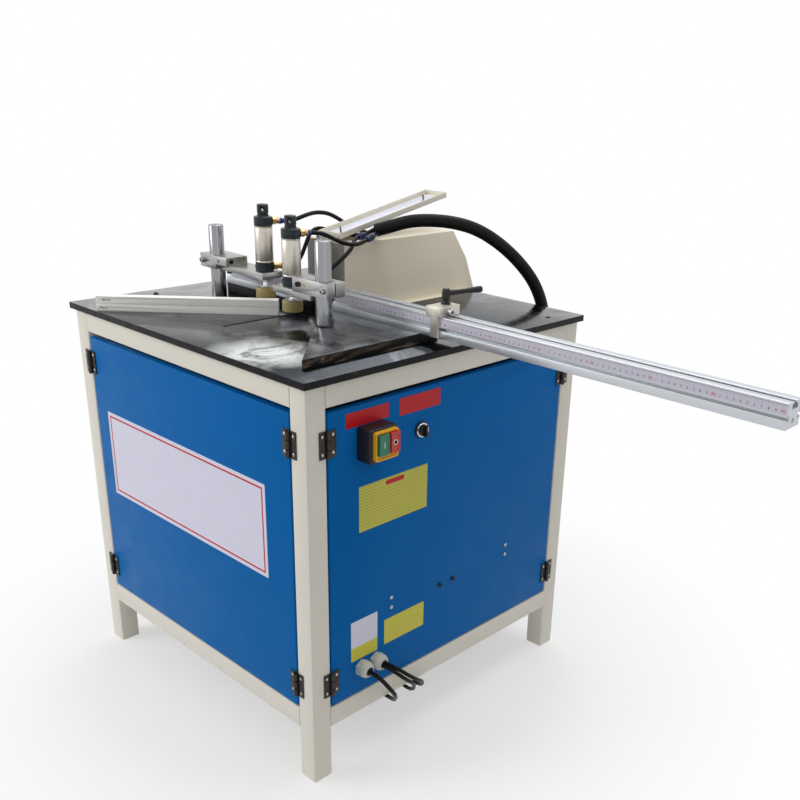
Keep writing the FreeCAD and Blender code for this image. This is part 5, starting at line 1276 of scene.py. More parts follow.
@dataclass
class Clamp:
    """One air clamp: bracket, cylinder, fittings, rod and pad."""

    side: Side
    jaw: tuple[float, float]
    arm_top: float
    pinch: Point
    arm_screws: tuple[tuple[float, float], ...]
    block_screws: tuple[BlockScrew, ...]
    arm_thick: float = 12.0
    barrel_radius: float = 17.0
    cap_height: float = 17.0
    barrel_length: float = 67.0
    nipple_radius: float = 10.75
    nipple_height: float = 22.5
    pad_low: float = 776.0
    fitting_turn: float = 60.0

    def build(self) -> list[bpy.types.Object]:
        """Build the clamp."""
        tag = self.side.value
        return [dressed(f"clamp_bracket_{tag}", BLOCK, 0.6), self.screws(tag), self.barrel(tag),
                self.caps(tag), self.fittings(tag), dressed(f"rod_{tag}", CHROME, 0.3), self.pad(tag),
                self.port(tag)]

    def screws(self, tag: str) -> bpy.types.Object:
        """Set the pinch screw, the arm screws, the cylinder's nut and the screws of the block."""
        low = self.arm_top - self.arm_thick
        parts = [painted(socket_screw("pinch_screw", self.pinch, -Axis.Y.value, 5, 6), STEEL)]
        for x, y in self.arm_screws:
            parts.append(painted(socket_screw("arm_screw", (x, y, low), -Axis.Z.value, 4.5, 5), BLACK_OXIDE))
        parts.append(painted(hexagon("cylinder_nut", (*self.jaw, low), -Axis.Z.value, [
            (12, 0), (13.2, 0.7), (13.2, 6.2), (12.2, 7), (9.4, 7), (9, 6.4)]), STEEL))
        parts += [screw.head() for screw in self.block_screws]
        node = f"clamp_screws_{tag}"
        return settled(joined(f"{node}_detailed", parts), node, node)

    def barrel(self, tag: str) -> bpy.types.Object:
        """Turn the barrel, rolled in a little at both ends."""
        r, low, high = self.barrel_radius, self.cap_height, self.cap_height + self.barrel_length
        piece = turned(f"barrel_{tag}_turned", (*self.jaw, self.arm_top), Axis.Z.value, [
            (r - 0.5, low), (r, low + 0.5), (r, low + 2.4), (r - 0.25, low + 2.8), (r, low + 3.2),
            (r, high - 3.2), (r - 0.25, high - 2.8), (r, high - 2.4), (r, high - 0.5), (r - 0.5, high)], 64)
        return settled(painted(piece, BARREL), f"barrel_{tag}", f"barrel_{tag}")

    def caps(self, tag: str) -> bpy.types.Object:
        """Turn the end caps, the upper one with a nipple that is bored across."""
        r, cap = self.barrel_radius + 0.4, self.cap_height
        foot = (*self.jaw, self.arm_top)
        low = turned("low_cap", foot, Axis.Z.value, [
            (5.6, -20), (7.4, -20), (8, -19.4), (8, 0), (r - 0.6, 0), (r, 0.6), (r, 11.6), (r - 0.5, 12),
            (r - 0.5, 13), (r, 13.4), (r, cap - 0.6), (r - 0.6, cap)], 64)
        base, n = cap + self.barrel_length, self.nipple_radius
        rim, top = base + cap, base + cap + self.nipple_height
        high = turned("high_cap", foot, Axis.Z.value, [
            (r - 0.6, base), (r, base + 0.6), (r, base + 3.6), (r - 0.5, base + 4), (r - 0.5, base + 5),
            (r, base + 5.4), (r, rim - 1), (r - 1, rim), (n + 0.8, rim), (n, rim + 0.8), (n, rim + 4),
            (n - 0.8, rim + 4.6), (n - 0.8, rim + 6), (n, rim + 6.6), (n, top - 1.6), (n - 1.4, top - 0.2),
            (n - 3, top), (3, top), (2.6, top - 3)], 64)
        eye = turned("cross_bore", (*self.jaw, self.arm_top + top - 10.5), Vector((0.66, -0.75, 0)),
                     [(3.3, -20), (3.3, 20)], 32)
        bored(high, eye)
        return settled(painted(joined(f"caps_{tag}_turned", [low, high]), CAP), f"caps_{tag}", f"caps_{tag}")

    def fittings(self, tag: str) -> bpy.types.Object:
        """Turn the push-in fittings: brass hexagon, collar and blue release ring."""
        turn = math.radians(self.fitting_turn)
        way = Vector((math.cos(turn), math.sin(turn), 0))
        parts = []
        for level in (self.cap_height / 2, self.cap_height * 1.5 + self.barrel_length):
            at = (*self.jaw, self.arm_top + level)
            parts.append(painted(hexagon("fitting_hexagon", at, way, [
                (5.6, 17.2), (6.8, 18), (6.8, 24.4), (5.8, 25)]), BRASS))
            parts.append(painted(turned("fitting_collar", at, way, [
                (4.9, 25), (4.9, 26.6), (5.7, 27), (5.7, 30.6), (5.3, 31)], 32), BRASS))
            parts.append(painted(turned("fitting_ring", at, way, [
                (5.2, 31), (5.9, 31.4), (5.9, 33.4), (5.1, 33.9), (5.3, 36.4), (4.9, 37)], 32), BLUE_RING))
        return settled(joined(f"fittings_{tag}_detailed", parts), f"fittings_{tag}", f"fittings_{tag}")

    def port(self, tag: str) -> bpy.types.Object:
        """Set the steel plug in the lower cap, seen from the operator's side."""
        at = (*self.jaw, self.arm_top + self.cap_height / 2)
        piece = turned(f"port_plug_{tag}", at, Vector((-0.5, -0.866, 0)), [
            (3.2, 16.6), (3.2, 17.6), (2.9, 17.9), (1.6, 17.9), (1.5, 17.2)], 20)
        return settled(painted(piece, BLACK_OXIDE), f"caps_{tag}")

    def pad(self, tag: str) -> bpy.types.Object:
        """Cast the amber pressure pad with worn edges."""
        piece = turned(f"pad_{tag}_cast", (*self.jaw, self.pad_low), Axis.Z.value, [
            (16.8, 0), (18.2, 0.4), (18.9, 1.4), (19, 3), (18.8, 10), (19, 17), (18.9, 18.6), (18.2, 19.6),
            (16.8, 20), (8.6, 20), (8.2, 19.6)], 64)
        return settled(painted(piece, AMBER), f"pad_{tag}", f"pad_{tag}")


# Blade guard


@dataclass
class Guard:
    """Folded guard over the parked blade, and its flap."""

    hinge: Point = (-7, 6, 888.2)
    tilt: float = 11.5
    liner: tuple[float, float, float] = (24, 14, 292)
    bands: tuple[tuple[float, float, float], ...] = ((34, 68, -40), (266, 74, -45))
    grey_before: float = 0.5
    grey_over: float = 756.0

    def build(self) -> list[bpy.types.Object]:
        """Dress the guard, flap, hinge and liner."""
        # The guard's front faces above its foot take the dark grey.
        limit = spot(0, self.grey_before, self.grey_over)

        def in_front(middle: Vector, normal: Vector) -> bool:
            """Tell whether a face is on the guard's front, above its foot."""
            return normal.y < -0.7 and middle.y < limit.y and middle.z > limit.z

        return [dressed("guard_box", BEIGE, 0.8, [(GREY_FRONT, in_front)]),
                dressed("guard_flap", FLAP_CREAM, 0.7), dressed("flap_hinge", STEEL, 0.4), self.lining()]

    def tilted(self, piece: bpy.types.Object) -> bpy.types.Object:
        """Turn a piece about the flap's hinge to lie with the flap."""
        piece.data.transform(about(spot(*self.hinge), Matrix.Rotation(math.radians(self.tilt), 4, "X")))
        return piece

    def lining(self) -> bpy.types.Object:
        """Lay the pale strip in the flap's channel, with two dark slanted bands across it."""
        x, y, z = self.hinge
        half, start, end = self.liner
        strip = block("flap_strip", (x - half, y + start, z), (x + half, y + end, z + 0.6))
        parts = [painted(rounded(self.tilted(strip), 0.2), FLAP_LINER)]
        # Two dark slanted bands across the strip near its ends.
        for place, long, turn in self.bands:
            band = block("flap_band", (x - long / 2, y + place - 1.6, z + 0.1),
                         (x + long / 2, y + place + 1.6, z + 1.4))
            band.data.transform(about(spot(x, y + place, z), Matrix.Rotation(math.radians(turn), 4, "Z")))
            parts.append(painted(rounded(self.tilted(band), 0.4), BLACK_PLASTIC))
        return settled(joined("flap_liner_and_bands", parts), "guard_flap")


# Switches


@dataclass
class Switchgear:
    """Push-button box, selector and cable glands on the right panel."""

    face: float = 352.0
    box_y: tuple[float, float] = (-244, -184)
    box_z: tuple[float, float] = (598, 656)
    base_deep: float = 32.0
    box_deep: float = 40.0
    button_z: tuple[float, float] = (613, 648)
    green_y: tuple[float, float] = (-233, -212)
    red_y: tuple[float, float] = (-208, -188)
    button_rise: float = 5.0
    selector: tuple[float, float] = (-95, 616)
    glands: tuple[float, float] = (-235, -200)
    gland_z: float = 196.0

    def build(self) -> list[bpy.types.Object]:
        """Build the box, buttons, selector and glands."""
        return [self.box(), self.button("green", self.green_y, GREEN), self.button("red", self.red_y, RED),
                self.bezel(), self.knob(), self.gland_pair()]

    def box(self) -> bpy.types.Object:
        """Mould the black base and the yellow front, with a pocket round the buttons."""
        (near, far), (low, high) = self.box_y, self.box_z
        middle, deep = self.face + self.base_deep, self.face + self.box_deep
        base = rounded(block("box_base", (self.face, near, low), (middle, far, high)), 2.2, 3)
        front = block("box_front", (middle, near + 6, low + 5), (deep, far - 3, high - 3))
        softened(front, 4.0, lambda edge: along(edge, Axis.X), 4)
        rounded(pocketed(front, 3.4, 2.4), 0.9, 2)
        lip = block("box_lip", (middle - 1.2, near + 0.8, low + 0.8), (middle + 1.0, far - 0.8, high - 0.8))
        piece = joined("switch_box_moulded", [painted(base, BLACK_PLASTIC), painted(front, YELLOW),
                                              painted(rounded(lip, 0.5), BLACK_PLASTIC)])
        return settled(piece, "switch_box", "switch_box")

    def button(self, colour: str, across: tuple[float, float], finish: Finish) -> bpy.types.Object:
        """Mould a button with a dished face and its raised mark, a bar for on and a ring for off."""
        (near, far), (low, high) = across, self.button_z
        top = self.face + self.box_deep + self.button_rise
        cap = block("button_cap", (top - 10, near, low), (top, far, high))
        rounded(pocketed(cap, 2.2, 0.7), 0.8, 3, 30)
        y, z = (near + far) / 2, (low + high) / 2
        seat = top - 0.72
        if colour == "green":
            mark = rounded(block("on_bar", (seat, y - 0.8, z - 5), (seat + 0.3, y + 0.8, z + 5)), 0.1)
        else:
            mark = turned("off_ring", (seat, y, z), Axis.X.value,
                          [(3.2, 0), (4.8, 0), (4.8, 0.3), (3.2, 0.3), (3.2, 0.02)], 40)
        stem = turned("button_stem", (self.face + 5, y, z), Axis.X.value, [(3.4, 0), (4, 0.6), (4, 30)], 24)
        parts = [painted(cap, finish), painted(mark, MARK_WHITE), painted(stem, finish)]
        piece = joined(f"{colour}_button_moulded", parts)
        return settled(piece, f"{colour}_button", f"{colour}_button")

    def bezel(self) -> bpy.types.Object:
        """Turn the selector's black collar and the chrome ring on it."""
        at = (self.face, *self.selector)
        collar = turned("bezel_collar", at, Axis.X.value, [
            (8, -28), (10.8, -27.4), (10.8, 0), (15, 0), (15, 2.6), (14.2, 3.6), (12, 3.8)], 56)
        ring = turned("bezel_ring", at, Axis.X.value, [
            (13.4, 3.4), (13.4, 4.6), (12.6, 5.8), (11.2, 6), (10.6, 5.4), (10.6, 4)], 56)
        piece = joined("selector_bezel_turned", [painted(collar, BLACK_PLASTIC), painted(ring, CHROME)])
        return settled(piece, "selector_bezel", "selector_bezel")

    def knob(self) -> bpy.types.Object:
        """Mould the selector knob: drum, grip and white mark."""
        y, z = self.selector
        drum = turned("knob_drum", (self.face, y, z), Axis.X.value, [
            (7.9, -26), (7.9, 6.3), (10.2, 6.3), (10.4, 7), (10.4, 10.2), (9.8, 11)], 48)
        grip = block("knob_grip", (self.face + 10, y - 3.2, z - 9.5), (self.face + 18, y + 3.2, z + 9.5))
        rounded(grip, 1.2, 3)
        mark = block("knob_mark", (self.face + 17.7, y - 0.8, z + 0.5), (self.face + 18.15, y + 0.8, z + 9))
        rounded(mark, 0.15)
        parts = [painted(drum, BLACK_PLASTIC), painted(grip, BLACK_PLASTIC), painted(mark, MARK_WHITE)]
        piece = joined("selector_knob_moulded", parts)
        return settled(piece, "selector_knob", "selector_knob")

    def gland_pair(self) -> bpy.types.Object:
        """Mould the glands: hexagon body, ribbed dome nut and tapered rubber insert."""
        parts = []
        for y in self.glands:
            at = (self.face, y, self.gland_z)
            parts.append(painted(hexagon("gland_body", at, Axis.X.value, [
                (10, -14), (10, 0), (15.8, 0), (16.6, 0.8), (16.6, 6.4), (15.4, 7.2)]), GREY_NYLON))
            parts.append(painted(turned("gland_nut", at, Axis.X.value, [
                (14.2, 7.2), (15.6, 7.8), (15.6, 13.6), (14.8, 17.2), (12.6, 20.6), (10.4, 22.6), (8.2, 23.4),
                (7.6, 22.6)], 14, smooth=12), GREY_NYLON))
            parts.append(painted(turned("gland_insert", at, Axis.X.value, [
                (8, 21.6), (7.6, 23.8), (6.4, 24.8), (4.4, 25)], 32), SHEATH))
        return settled(joined("cable_glands_moulded", parts), "cable_glands", "cable_glands")


# Saw head under the table


@dataclass
class SawHead:
    """Guide rails, carriage, spindle, blade, motor, belt, feed cylinder and control gear."""

    motor_axis: tuple[float, float] = (155, 438)
    motor_start: float = 60.0
    core: float = 58.0
    fin_tip: float = 65.0
    fins: int = 36
    fin_thick: float = 2.4
    fin_from: float = 84.0
    fin_to: float = 178.0
    foot: Room = ((100, 95, 497), (200, 215, 509))
    terminals: Room = ((160, 62, 403), (220, 125, 473))
    lid: Room = ((163, 60.4, 406), (217, 62.4, 470))
    feed_span: tuple[float, float] = (-307, -5)
    feed_end: float = 14.0
    gear_strip: Room = ((326, -280, 300), (330, -60, 316))
    gear_rail: Room = ((318, -285, 372), (330, -170, 388))
    bolt_grid: tuple[tuple[float, ...], tuple[float, ...]] = ((64, 88, 212, 238), (60, 90, 220, 250))

    def build(self) -> list[bpy.types.Object]:
        """Build the saw head."""
        plain = (("slide_rails", GUIDE, 0.6), ("slide_blocks", GUIDE, 0.8), ("carriage_plate", IRON, 0.8),
                 ("spindle_housing", HOUSING, 1.2), ("blade", BLADE, 0.0), ("arbor", STEEL, 0.6),
                 ("motor_pulley", IRON, 0.6), ("drive_belt", BELT, 0.4), ("feed_rod", CHROME, 0.3))
        return [*(dressed(*row) for row in plain), self.motor(), self.feed(), *self.gear(), self.bolts()]

    def motor(self) -> bpy.types.Object:
        """Build the motor: bells, finned core, fan cowl, foot and terminal box."""
        y, z = self.motor_axis
        at = (self.motor_start, y, z)
        run = self.fin_from - self.motor_start, self.fin_to - self.motor_start
        case = turned("motor_case", at, Axis.X.value, [
            (20, 0), (53, 0), (62, 8), (self.fin_tip, 14), (self.fin_tip, run[0]), (self.core, run[0]),
            (self.core, run[1]), (self.fin_tip, run[1]), (self.fin_tip, 148), (61, 150), (61, 182), (57, 188),
            (22, 188), (20, 186)], 72)
        fin = block("motor_fin", (self.fin_from, y - self.fin_thick / 2, z + self.core - 1),
                    (self.fin_to, y + self.fin_thick / 2, z + self.fin_tip))
        parts, centre = [case], spot(0, y, z)
        for k in range(self.fins):
            one = copied(fin, (0, 0, 0))
            turn = Matrix.Rotation(math.tau * k / self.fins, 4, "X")
            one.data.transform(about(centre, turn))
            parts.append(one)
        bpy.data.objects.remove(fin)
        parts.append(rounded(block("motor_foot", *self.foot), 1.5))
        parts.append(rounded(block("motor_terminals", *self.terminals), 4, 3))
        parts.append(rounded(block("terminal_lid", *self.lid), 0.8))
        piece = painted(joined("motor_finned", parts), MOTOR_PAINT)
        return settled(piece, "motor", "motor")

    def feed(self) -> bpy.types.Object:
        """Dress the feed cylinder, its end caps dark."""
        near, far = self.feed_span
        ends = [spot(0, y, 0).y for y in (near + self.feed_end, far - self.feed_end)]
        return dressed("feed_barrel", FEED_TUBE, 0.6,
                       [(CAP, lambda middle, normal: middle.y < ends[0] or middle.y > ends[1])])

    def gear(self) -> list[bpy.types.Object]:
        """Dress the control gear: pale plate, grey housings, dark terminals."""
        plate, dark = spot(326.5, 0, 0).x, spot(0, -165, 0).y
        zones = [(CREAM, lambda middle, normal: middle.x > plate),
                 (BLACK_PLASTIC, lambda middle, normal: middle.y > dark)]
        piece = dressed("control_gear", GEAR_GREY, 1.0, zones)
        strips = [block("gear_strip", *self.gear_strip), block("gear_rail", *self.gear_rail)]
        details = painted(rounded(joined("gear_rails", strips), 0.6), STEEL)
        return [piece, settled(details, "control_gear")]

    def bolts(self) -> bpy.types.Object:
        """Set the socket bolts of the carriage plate and the housing."""
        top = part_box("carriage_plate")[1][2] / MM
        heads = [socket_screw("carriage_bolt", (*place, top), Axis.Z.value, 6, 5)
                 for place in product(*self.bolt_grid)]
        return settled(painted(joined("carriage_bolts", heads), BLACK_OXIDE), "carriage_plate")


# Tubes, hose, cables and the mains lead

LEFT_HIGH = (
    (-0.3564, -0.0859, 0.9195), (-0.3472, -0.0702, 0.9195), (-0.346, -0.0432, 0.927),
    (-0.349, -0.0132, 0.931), (-0.351, 0.0187, 0.927), (-0.353, 0.0467, 0.915),
    (-0.354, 0.0698, 0.901), (-0.344, 0.0887, 0.8905), (-0.321, 0.0938, 0.887),
    (-0.297, 0.0867, 0.888), (-0.277, 0.0747, 0.8955), (-0.2558, 0.066, 0.9077),
)
LEFT_LOW = (
    (-0.3564, -0.0859, 0.8355), (-0.3495, -0.0741, 0.8355), (-0.347, -0.0612, 0.8415),
    (-0.348, -0.0503, 0.852), (-0.35, -0.0403, 0.867), (-0.3515, -0.0312, 0.882),
    (-0.354, -0.0203, 0.8945), (-0.355, -0.0043, 0.8995), (-0.355, 0.0127, 0.897),
    (-0.352, 0.0288, 0.8915), (-0.339, 0.0408, 0.8873), (-0.321, 0.0457, 0.887),
    (-0.302, 0.0478, 0.888), (-0.28, 0.0522, 0.892), (-0.2534, 0.0676, 0.8987),
)
RIGHT_HIGH = (
    (-0.2314, -0.1199, 0.9155), (-0.2245, -0.1081, 0.9155), (-0.22, -0.0912, 0.909),
    (-0.2205, -0.0693, 0.8985), (-0.222, -0.0473, 0.8906), (-0.222, -0.0272, 0.887),
    (-0.225, -0.0063, 0.8875), (-0.2279, 0.0107, 0.8922),
)
RIGHT_LOW = (
    (-0.2314, -0.1199, 0.8315), (-0.2245, -0.1081, 0.8315), (-0.2195, -0.0963, 0.838),
    (-0.22, -0.0833, 0.851), (-0.2186, -0.0673, 0.8607), (-0.2196, -0.0493, 0.8706),
    (-0.2275, -0.0293, 0.879), (-0.2395, -0.0132, 0.886), (-0.249, -0.0022, 0.891),
    (-0.2532, 0.0107, 0.8936),
)
UNION_HIGH = ((-0.2279, 0.0107, 0.8922), (-0.2315, 0.0307, 0.8973))
UNION_LOW = ((-0.2532, 0.0107, 0.8936), (-0.2579, 0.0318, 0.8949))
STUB_HIGH = ((-0.2315, 0.0307, 0.8973), (-0.2415, 0.0437, 0.898), (-0.2483, 0.0597, 0.8987))
STUB_LOW = ((-0.2579, 0.0318, 0.8949), (-0.2565, 0.0437, 0.9), (-0.2506, 0.0581, 0.9077))
HOSE = (
    (-0.256, 0.0602, 0.9017), (-0.2336, 0.0748, 0.9101), (-0.208, 0.1047, 0.9215),
    (-0.18, 0.1328, 0.924), (-0.152, 0.1648, 0.921), (-0.126, 0.2008, 0.91), (-0.103, 0.2427, 0.884),
    (-0.084, 0.2908, 0.843), (-0.069, 0.3307, 0.795), (-0.0615, 0.3548, 0.74),
    (-0.061, 0.3588, 0.69), (-0.061, 0.3588, 0.64),
)
MAINS = (
    (0.071, -0.2542, 0.196), (0.086, -0.2542, 0.196), (0.1, -0.2512, 0.1895), (0.109, -0.2442, 0.176),
    (0.109, -0.2333, 0.16), (0.099, -0.2193, 0.143), (0.084, -0.2042, 0.125), (0.07, -0.1913, 0.109),
    (0.057, -0.1812, 0.094), (0.04, -0.1732, 0.085), (0.012, -0.1683, 0.08), (-0.03, -0.1673, 0.07),
    (-0.08, -0.1683, 0.052), (-0.126, -0.1683, 0.032), (-0.168, -0.1653, 0.014),
    (-0.194, -0.1552, 0.0046), (-0.2085, -0.1343, 0.004), (-0.2122, -0.1113, 0.004),
    (-0.2122, -0.0872, 0.004),
)
MOTOR_CABLE = (
    (0.071, -0.2232, 0.196), (0.085, -0.2223, 0.196), (0.098, -0.2172, 0.1905),
    (0.107, -0.2062, 0.1785), (0.106, -0.1913, 0.164), (0.096, -0.1722, 0.146),
    (0.082, -0.1542, 0.127), (0.069, -0.1403, 0.11), (0.057, -0.1313, 0.094), (0.041, -0.1253, 0.084),
    (0.022, -0.1212, 0.08), (0.004, -0.1182, 0.082), (-0.008, -0.1163, 0.092),
    (-0.012, -0.1153, 0.108), (-0.012, -0.1143, 0.13), (-0.008, -0.1143, 0.16),
    (-0.0025, -0.1148, 0.212), (-0.0025, -0.1148, 0.265),
)
VALVE_CABLE = (
    (0.071, -0.2153, 0.196), (0.086, -0.2132, 0.196), (0.101, -0.2062, 0.1905),
    (0.111, -0.1933, 0.178), (0.109, -0.1752, 0.162), (0.098, -0.1552, 0.145), (0.083, -0.1353, 0.127),
    (0.07, -0.1192, 0.11), (0.058, -0.1082, 0.094), (0.042, -0.1013, 0.084), (0.023, -0.0973, 0.08),
    (0.005, -0.0953, 0.082), (-0.007, -0.0932, 0.092), (-0.011, -0.0922, 0.108),
    (-0.011, -0.0912, 0.13), (-0.007, -0.0912, 0.16), (-0.0015, -0.0917, 0.212),
    (-0.0015, -0.0917, 0.265),
)


def smooth_line(name: str, points: Sequence[Sequence[float]]) -> bpy.types.Object:
    """Lay one smooth spline along a route.

    Args:
        name: Name of the curve.
        points: The route's points in metres.

    Returns:
        The curve, without thickness.
    """
    curve = bpy.data.curves.new(name, "CURVE")
    curve.dimensions = "3D"
    curve.resolution_u = 6
    spline = curve.splines.new("NURBS")
    spline.points.add(len(points) - 1)
    for point, place in zip(spline.points, points):
        point.co = (*place, 1.0)
    spline.order_u = 3
    spline.use_endpoint_u = True
    piece = bpy.data.objects.new(name, curve)
    bpy.context.collection.objects.link(piece)
    return piece


def read_line(curve: bpy.types.Object) -> list[Vector]:
    """Read the points that a curve without thickness passes through."""
    bpy.context.view_layer.update()
    mesh = bpy.data.meshes.new_from_object(curve.evaluated_get(bpy.context.evaluated_depsgraph_get()))
    points = [vertex.co.copy() for vertex in mesh.vertices]
    bpy.data.meshes.remove(mesh)
    return points


def tube_along(name: str, route: Sequence[Sequence[float]], radius: Callable[[float], float], sides: int = 16,
               step: float = 0.0) -> tuple[bpy.types.Object, list[Vector]]:
    """Sweep rings along a route's smooth line into a closed tube.

    Args:
        name: Name of the tube.
        route: The route's points in metres.
        radius: Radius in metres at a distance in metres along the tube.
        sides: Points of a ring.
        step: Distance between rings in metres, or nothing for the line's own points.

    Returns:
        The tube and the points that it follows.
    """
    curve = smooth_line(f"{name}_line", route)
    line = read_line(curve)
    bpy.data.objects.remove(curve)
    if step:
        line = evenly(line, step)
    mesh = bmesh.new()
    rings, run = [], 0.0
    across = (line[1] - line[0]).orthogonal().normalized()
    for i, point in enumerate(line):
        ahead = (line[min(i + 1, len(line) - 1)] - line[max(i - 1, 0)]).normalized()
        across = (across - ahead * across.dot(ahead)).normalized()
        up = ahead.cross(across)
        run += (point - line[i - 1]).length if i else 0.0
        size = radius(run)
        turns = (math.tau * k / sides for k in range(sides))
        rings.append([mesh.verts.new(point + (across * math.cos(t) + up * math.sin(t)) * size)
                      for t in turns])
    for ring, onward in zip(rings, rings[1:]):
        for k in range(sides):
            mesh.faces.new((ring[k], ring[(k + 1) % sides], onward[(k + 1) % sides], onward[k]))
    mesh.faces.new(reversed(rings[0]))
    mesh.faces.new(rings[-1])
    data = bpy.data.meshes.new(name)
    mesh.to_mesh(data)
    mesh.free()
    piece = bpy.data.objects.new(name, data)
    bpy.context.collection.objects.link(piece)
    select_only(piece)
    bpy.ops.object.shade_smooth_by_angle(angle=math.radians(50))
    return piece, line


def evenly(line: Sequence[Vector], step: float) -> list[Vector]:
    """Set points at even distances along a line of points."""
    spaced, spare = [line[0]], 0.0
    for start, end in zip(line, line[1:]):
        length = (end - start).length
        reach = step - spare
        while reach <= length:
            spaced.append(start.lerp(end, reach / length))
            reach += step
        spare = length - (reach - step)
    if (spaced[-1] - line[-1]).length > step * 0.3:
        spaced.append(line[-1])
    return spaced


@dataclass
class AirLines:
    """Four air tubes with their unions, and the sleeve that bundles them."""

    tube_radius: float = 4.0
    sleeve_radius: float = 12.5
    rib_pitch: float = 4.2
    rib_deep: float = 0.35
    cuff: float = 34.0
    cuff_waist: float = 0.2
    union_radius: float = 6.5
    hose_foot: Point = (245, 378, 640)

    def build(self) -> list[bpy.types.Object]:
        """Build the tubes, unions, sleeve and elbow."""
        return [*self.tubes(), *self.stubs(), self.unions(), self.sleeve(), self.elbow()]

    def tubes(self) -> list[bpy.types.Object]:
        """Lay the tubes from the clamps."""
        pieces = []
        plan = (("left", "high", LEFT_HIGH, 0.286, 6), ("left", "low", LEFT_LOW, 0.255, 8),
                ("right", "high", RIGHT_HIGH, 0.139, 5), ("right", "low", RIGHT_LOW, 0.158, 6))
        for side, level, route, length, held in plan:
            piece, line = tube_along(f"air_tube_{side}_{level}", route, lambda run: self.tube_radius * MM)
            painted(piece, TUBE)
            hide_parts(f"air_tubes_{side}")
            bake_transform(piece)
            pieces.append(piece)
        return pieces

    def stubs(self) -> list[bpy.types.Object]:
        """Lay the short tubes from the unions into the sleeve."""
        pieces = []
        for level, route in (("high", STUB_HIGH), ("low", STUB_LOW)):
            piece, _ = tube_along(f"stub_{level}", route, lambda run: self.tube_radius * MM)
            pieces.append(settled(painted(piece, TUBE), "tube_connectors"))
        return pieces

    def unions(self) -> bpy.types.Object:
        """Make the push-in unions, with a hexagon and blue release rings at both ends."""
        parts = []
        for start, end in (UNION_HIGH, UNION_LOW):
            way = Vector(end) - Vector(start)
            length, size = way.length / MM, self.union_radius
            centre = (start[0] / MM + TABLE_MIDDLE[0], start[1] / MM + TABLE_MIDDLE[1], start[2] / MM)
            parts.append(painted(turned("union_body", centre, way, [
                (size - 1, 3), (size, 3.6), (size, length / 2 - 2.2), (size + 0.5, length / 2 - 2),
                (size + 0.5, length / 2 + 2), (size, length / 2 + 2.2), (size, length - 3.6),
                (size - 1, length - 3)], 24), BLACK_PLASTIC))
            for low, high in ((0, 3), (length - 3, length)):
                parts.append(painted(turned("release_ring", centre, way, [
                    (size - 2.2, low), (size - 1, low), (size - 0.7, low + 0.4), (size - 0.7, high - 0.4),
                    (size - 1, high), (size - 2.2, high)], 24), BLUE_RING))
        return settled(joined("tube_unions", parts), "tube_connectors", "tube_connectors")

    def sleeve(self) -> bpy.types.Object:
        """Lay the ribbed sleeve, with a wider wrapped cuff at its mouth."""
        cuff, pitch = self.cuff * MM, self.rib_pitch * MM

        def radius(run: float) -> float:
            """Give the sleeve's radius in metres at a distance from its mouth."""
            rib = 0.5 + 0.5 * math.cos(math.tau * run / pitch)
            if run < cuff:
                return (self.sleeve_radius - self.cuff_waist * math.sin(run / cuff * math.pi)) * MM
            return (self.sleeve_radius - self.rib_deep * (1 - rib)) * MM

        piece, line = tube_along("hose_sleeve_ribbed", HOSE, radius, 28, pitch / 6)
        start = line[0]
        painted(piece, SLEEVE, [(SHEATH, lambda middle, normal: (middle - start).length < cuff)])
        settled(piece, "hose_sleeve", "hose_sleeve")
        return piece

    def elbow(self) -> bpy.types.Object:
        """Make the elbow that takes the sleeve into the rear panel."""
        x, y, z = self.hose_foot
        size = self.sleeve_radius
        collar = turned("elbow_collar", (x, y, z), -Axis.Z.value, [
            (size + 0.3, 0), (size + 3, 0.6), (size + 3, 8), (size + 2.2, 9), (size + 2.2, 12), (size + 3, 13),
            (size + 3, 33), (size + 2, 34)], 40)
        neck = turned("elbow_neck", (x, y, z - 20), -Axis.Y.value, [
            (size - 1, 0), (size - 1, y - 352), (size + 4, y - 351.5), (size + 4, y - 348),
            (size + 3.4, y - 347)], 40)
        piece = painted(joined("hose_elbow", [collar, neck]), BLACK_PLASTIC)
        return settled(piece, "tube_connectors")


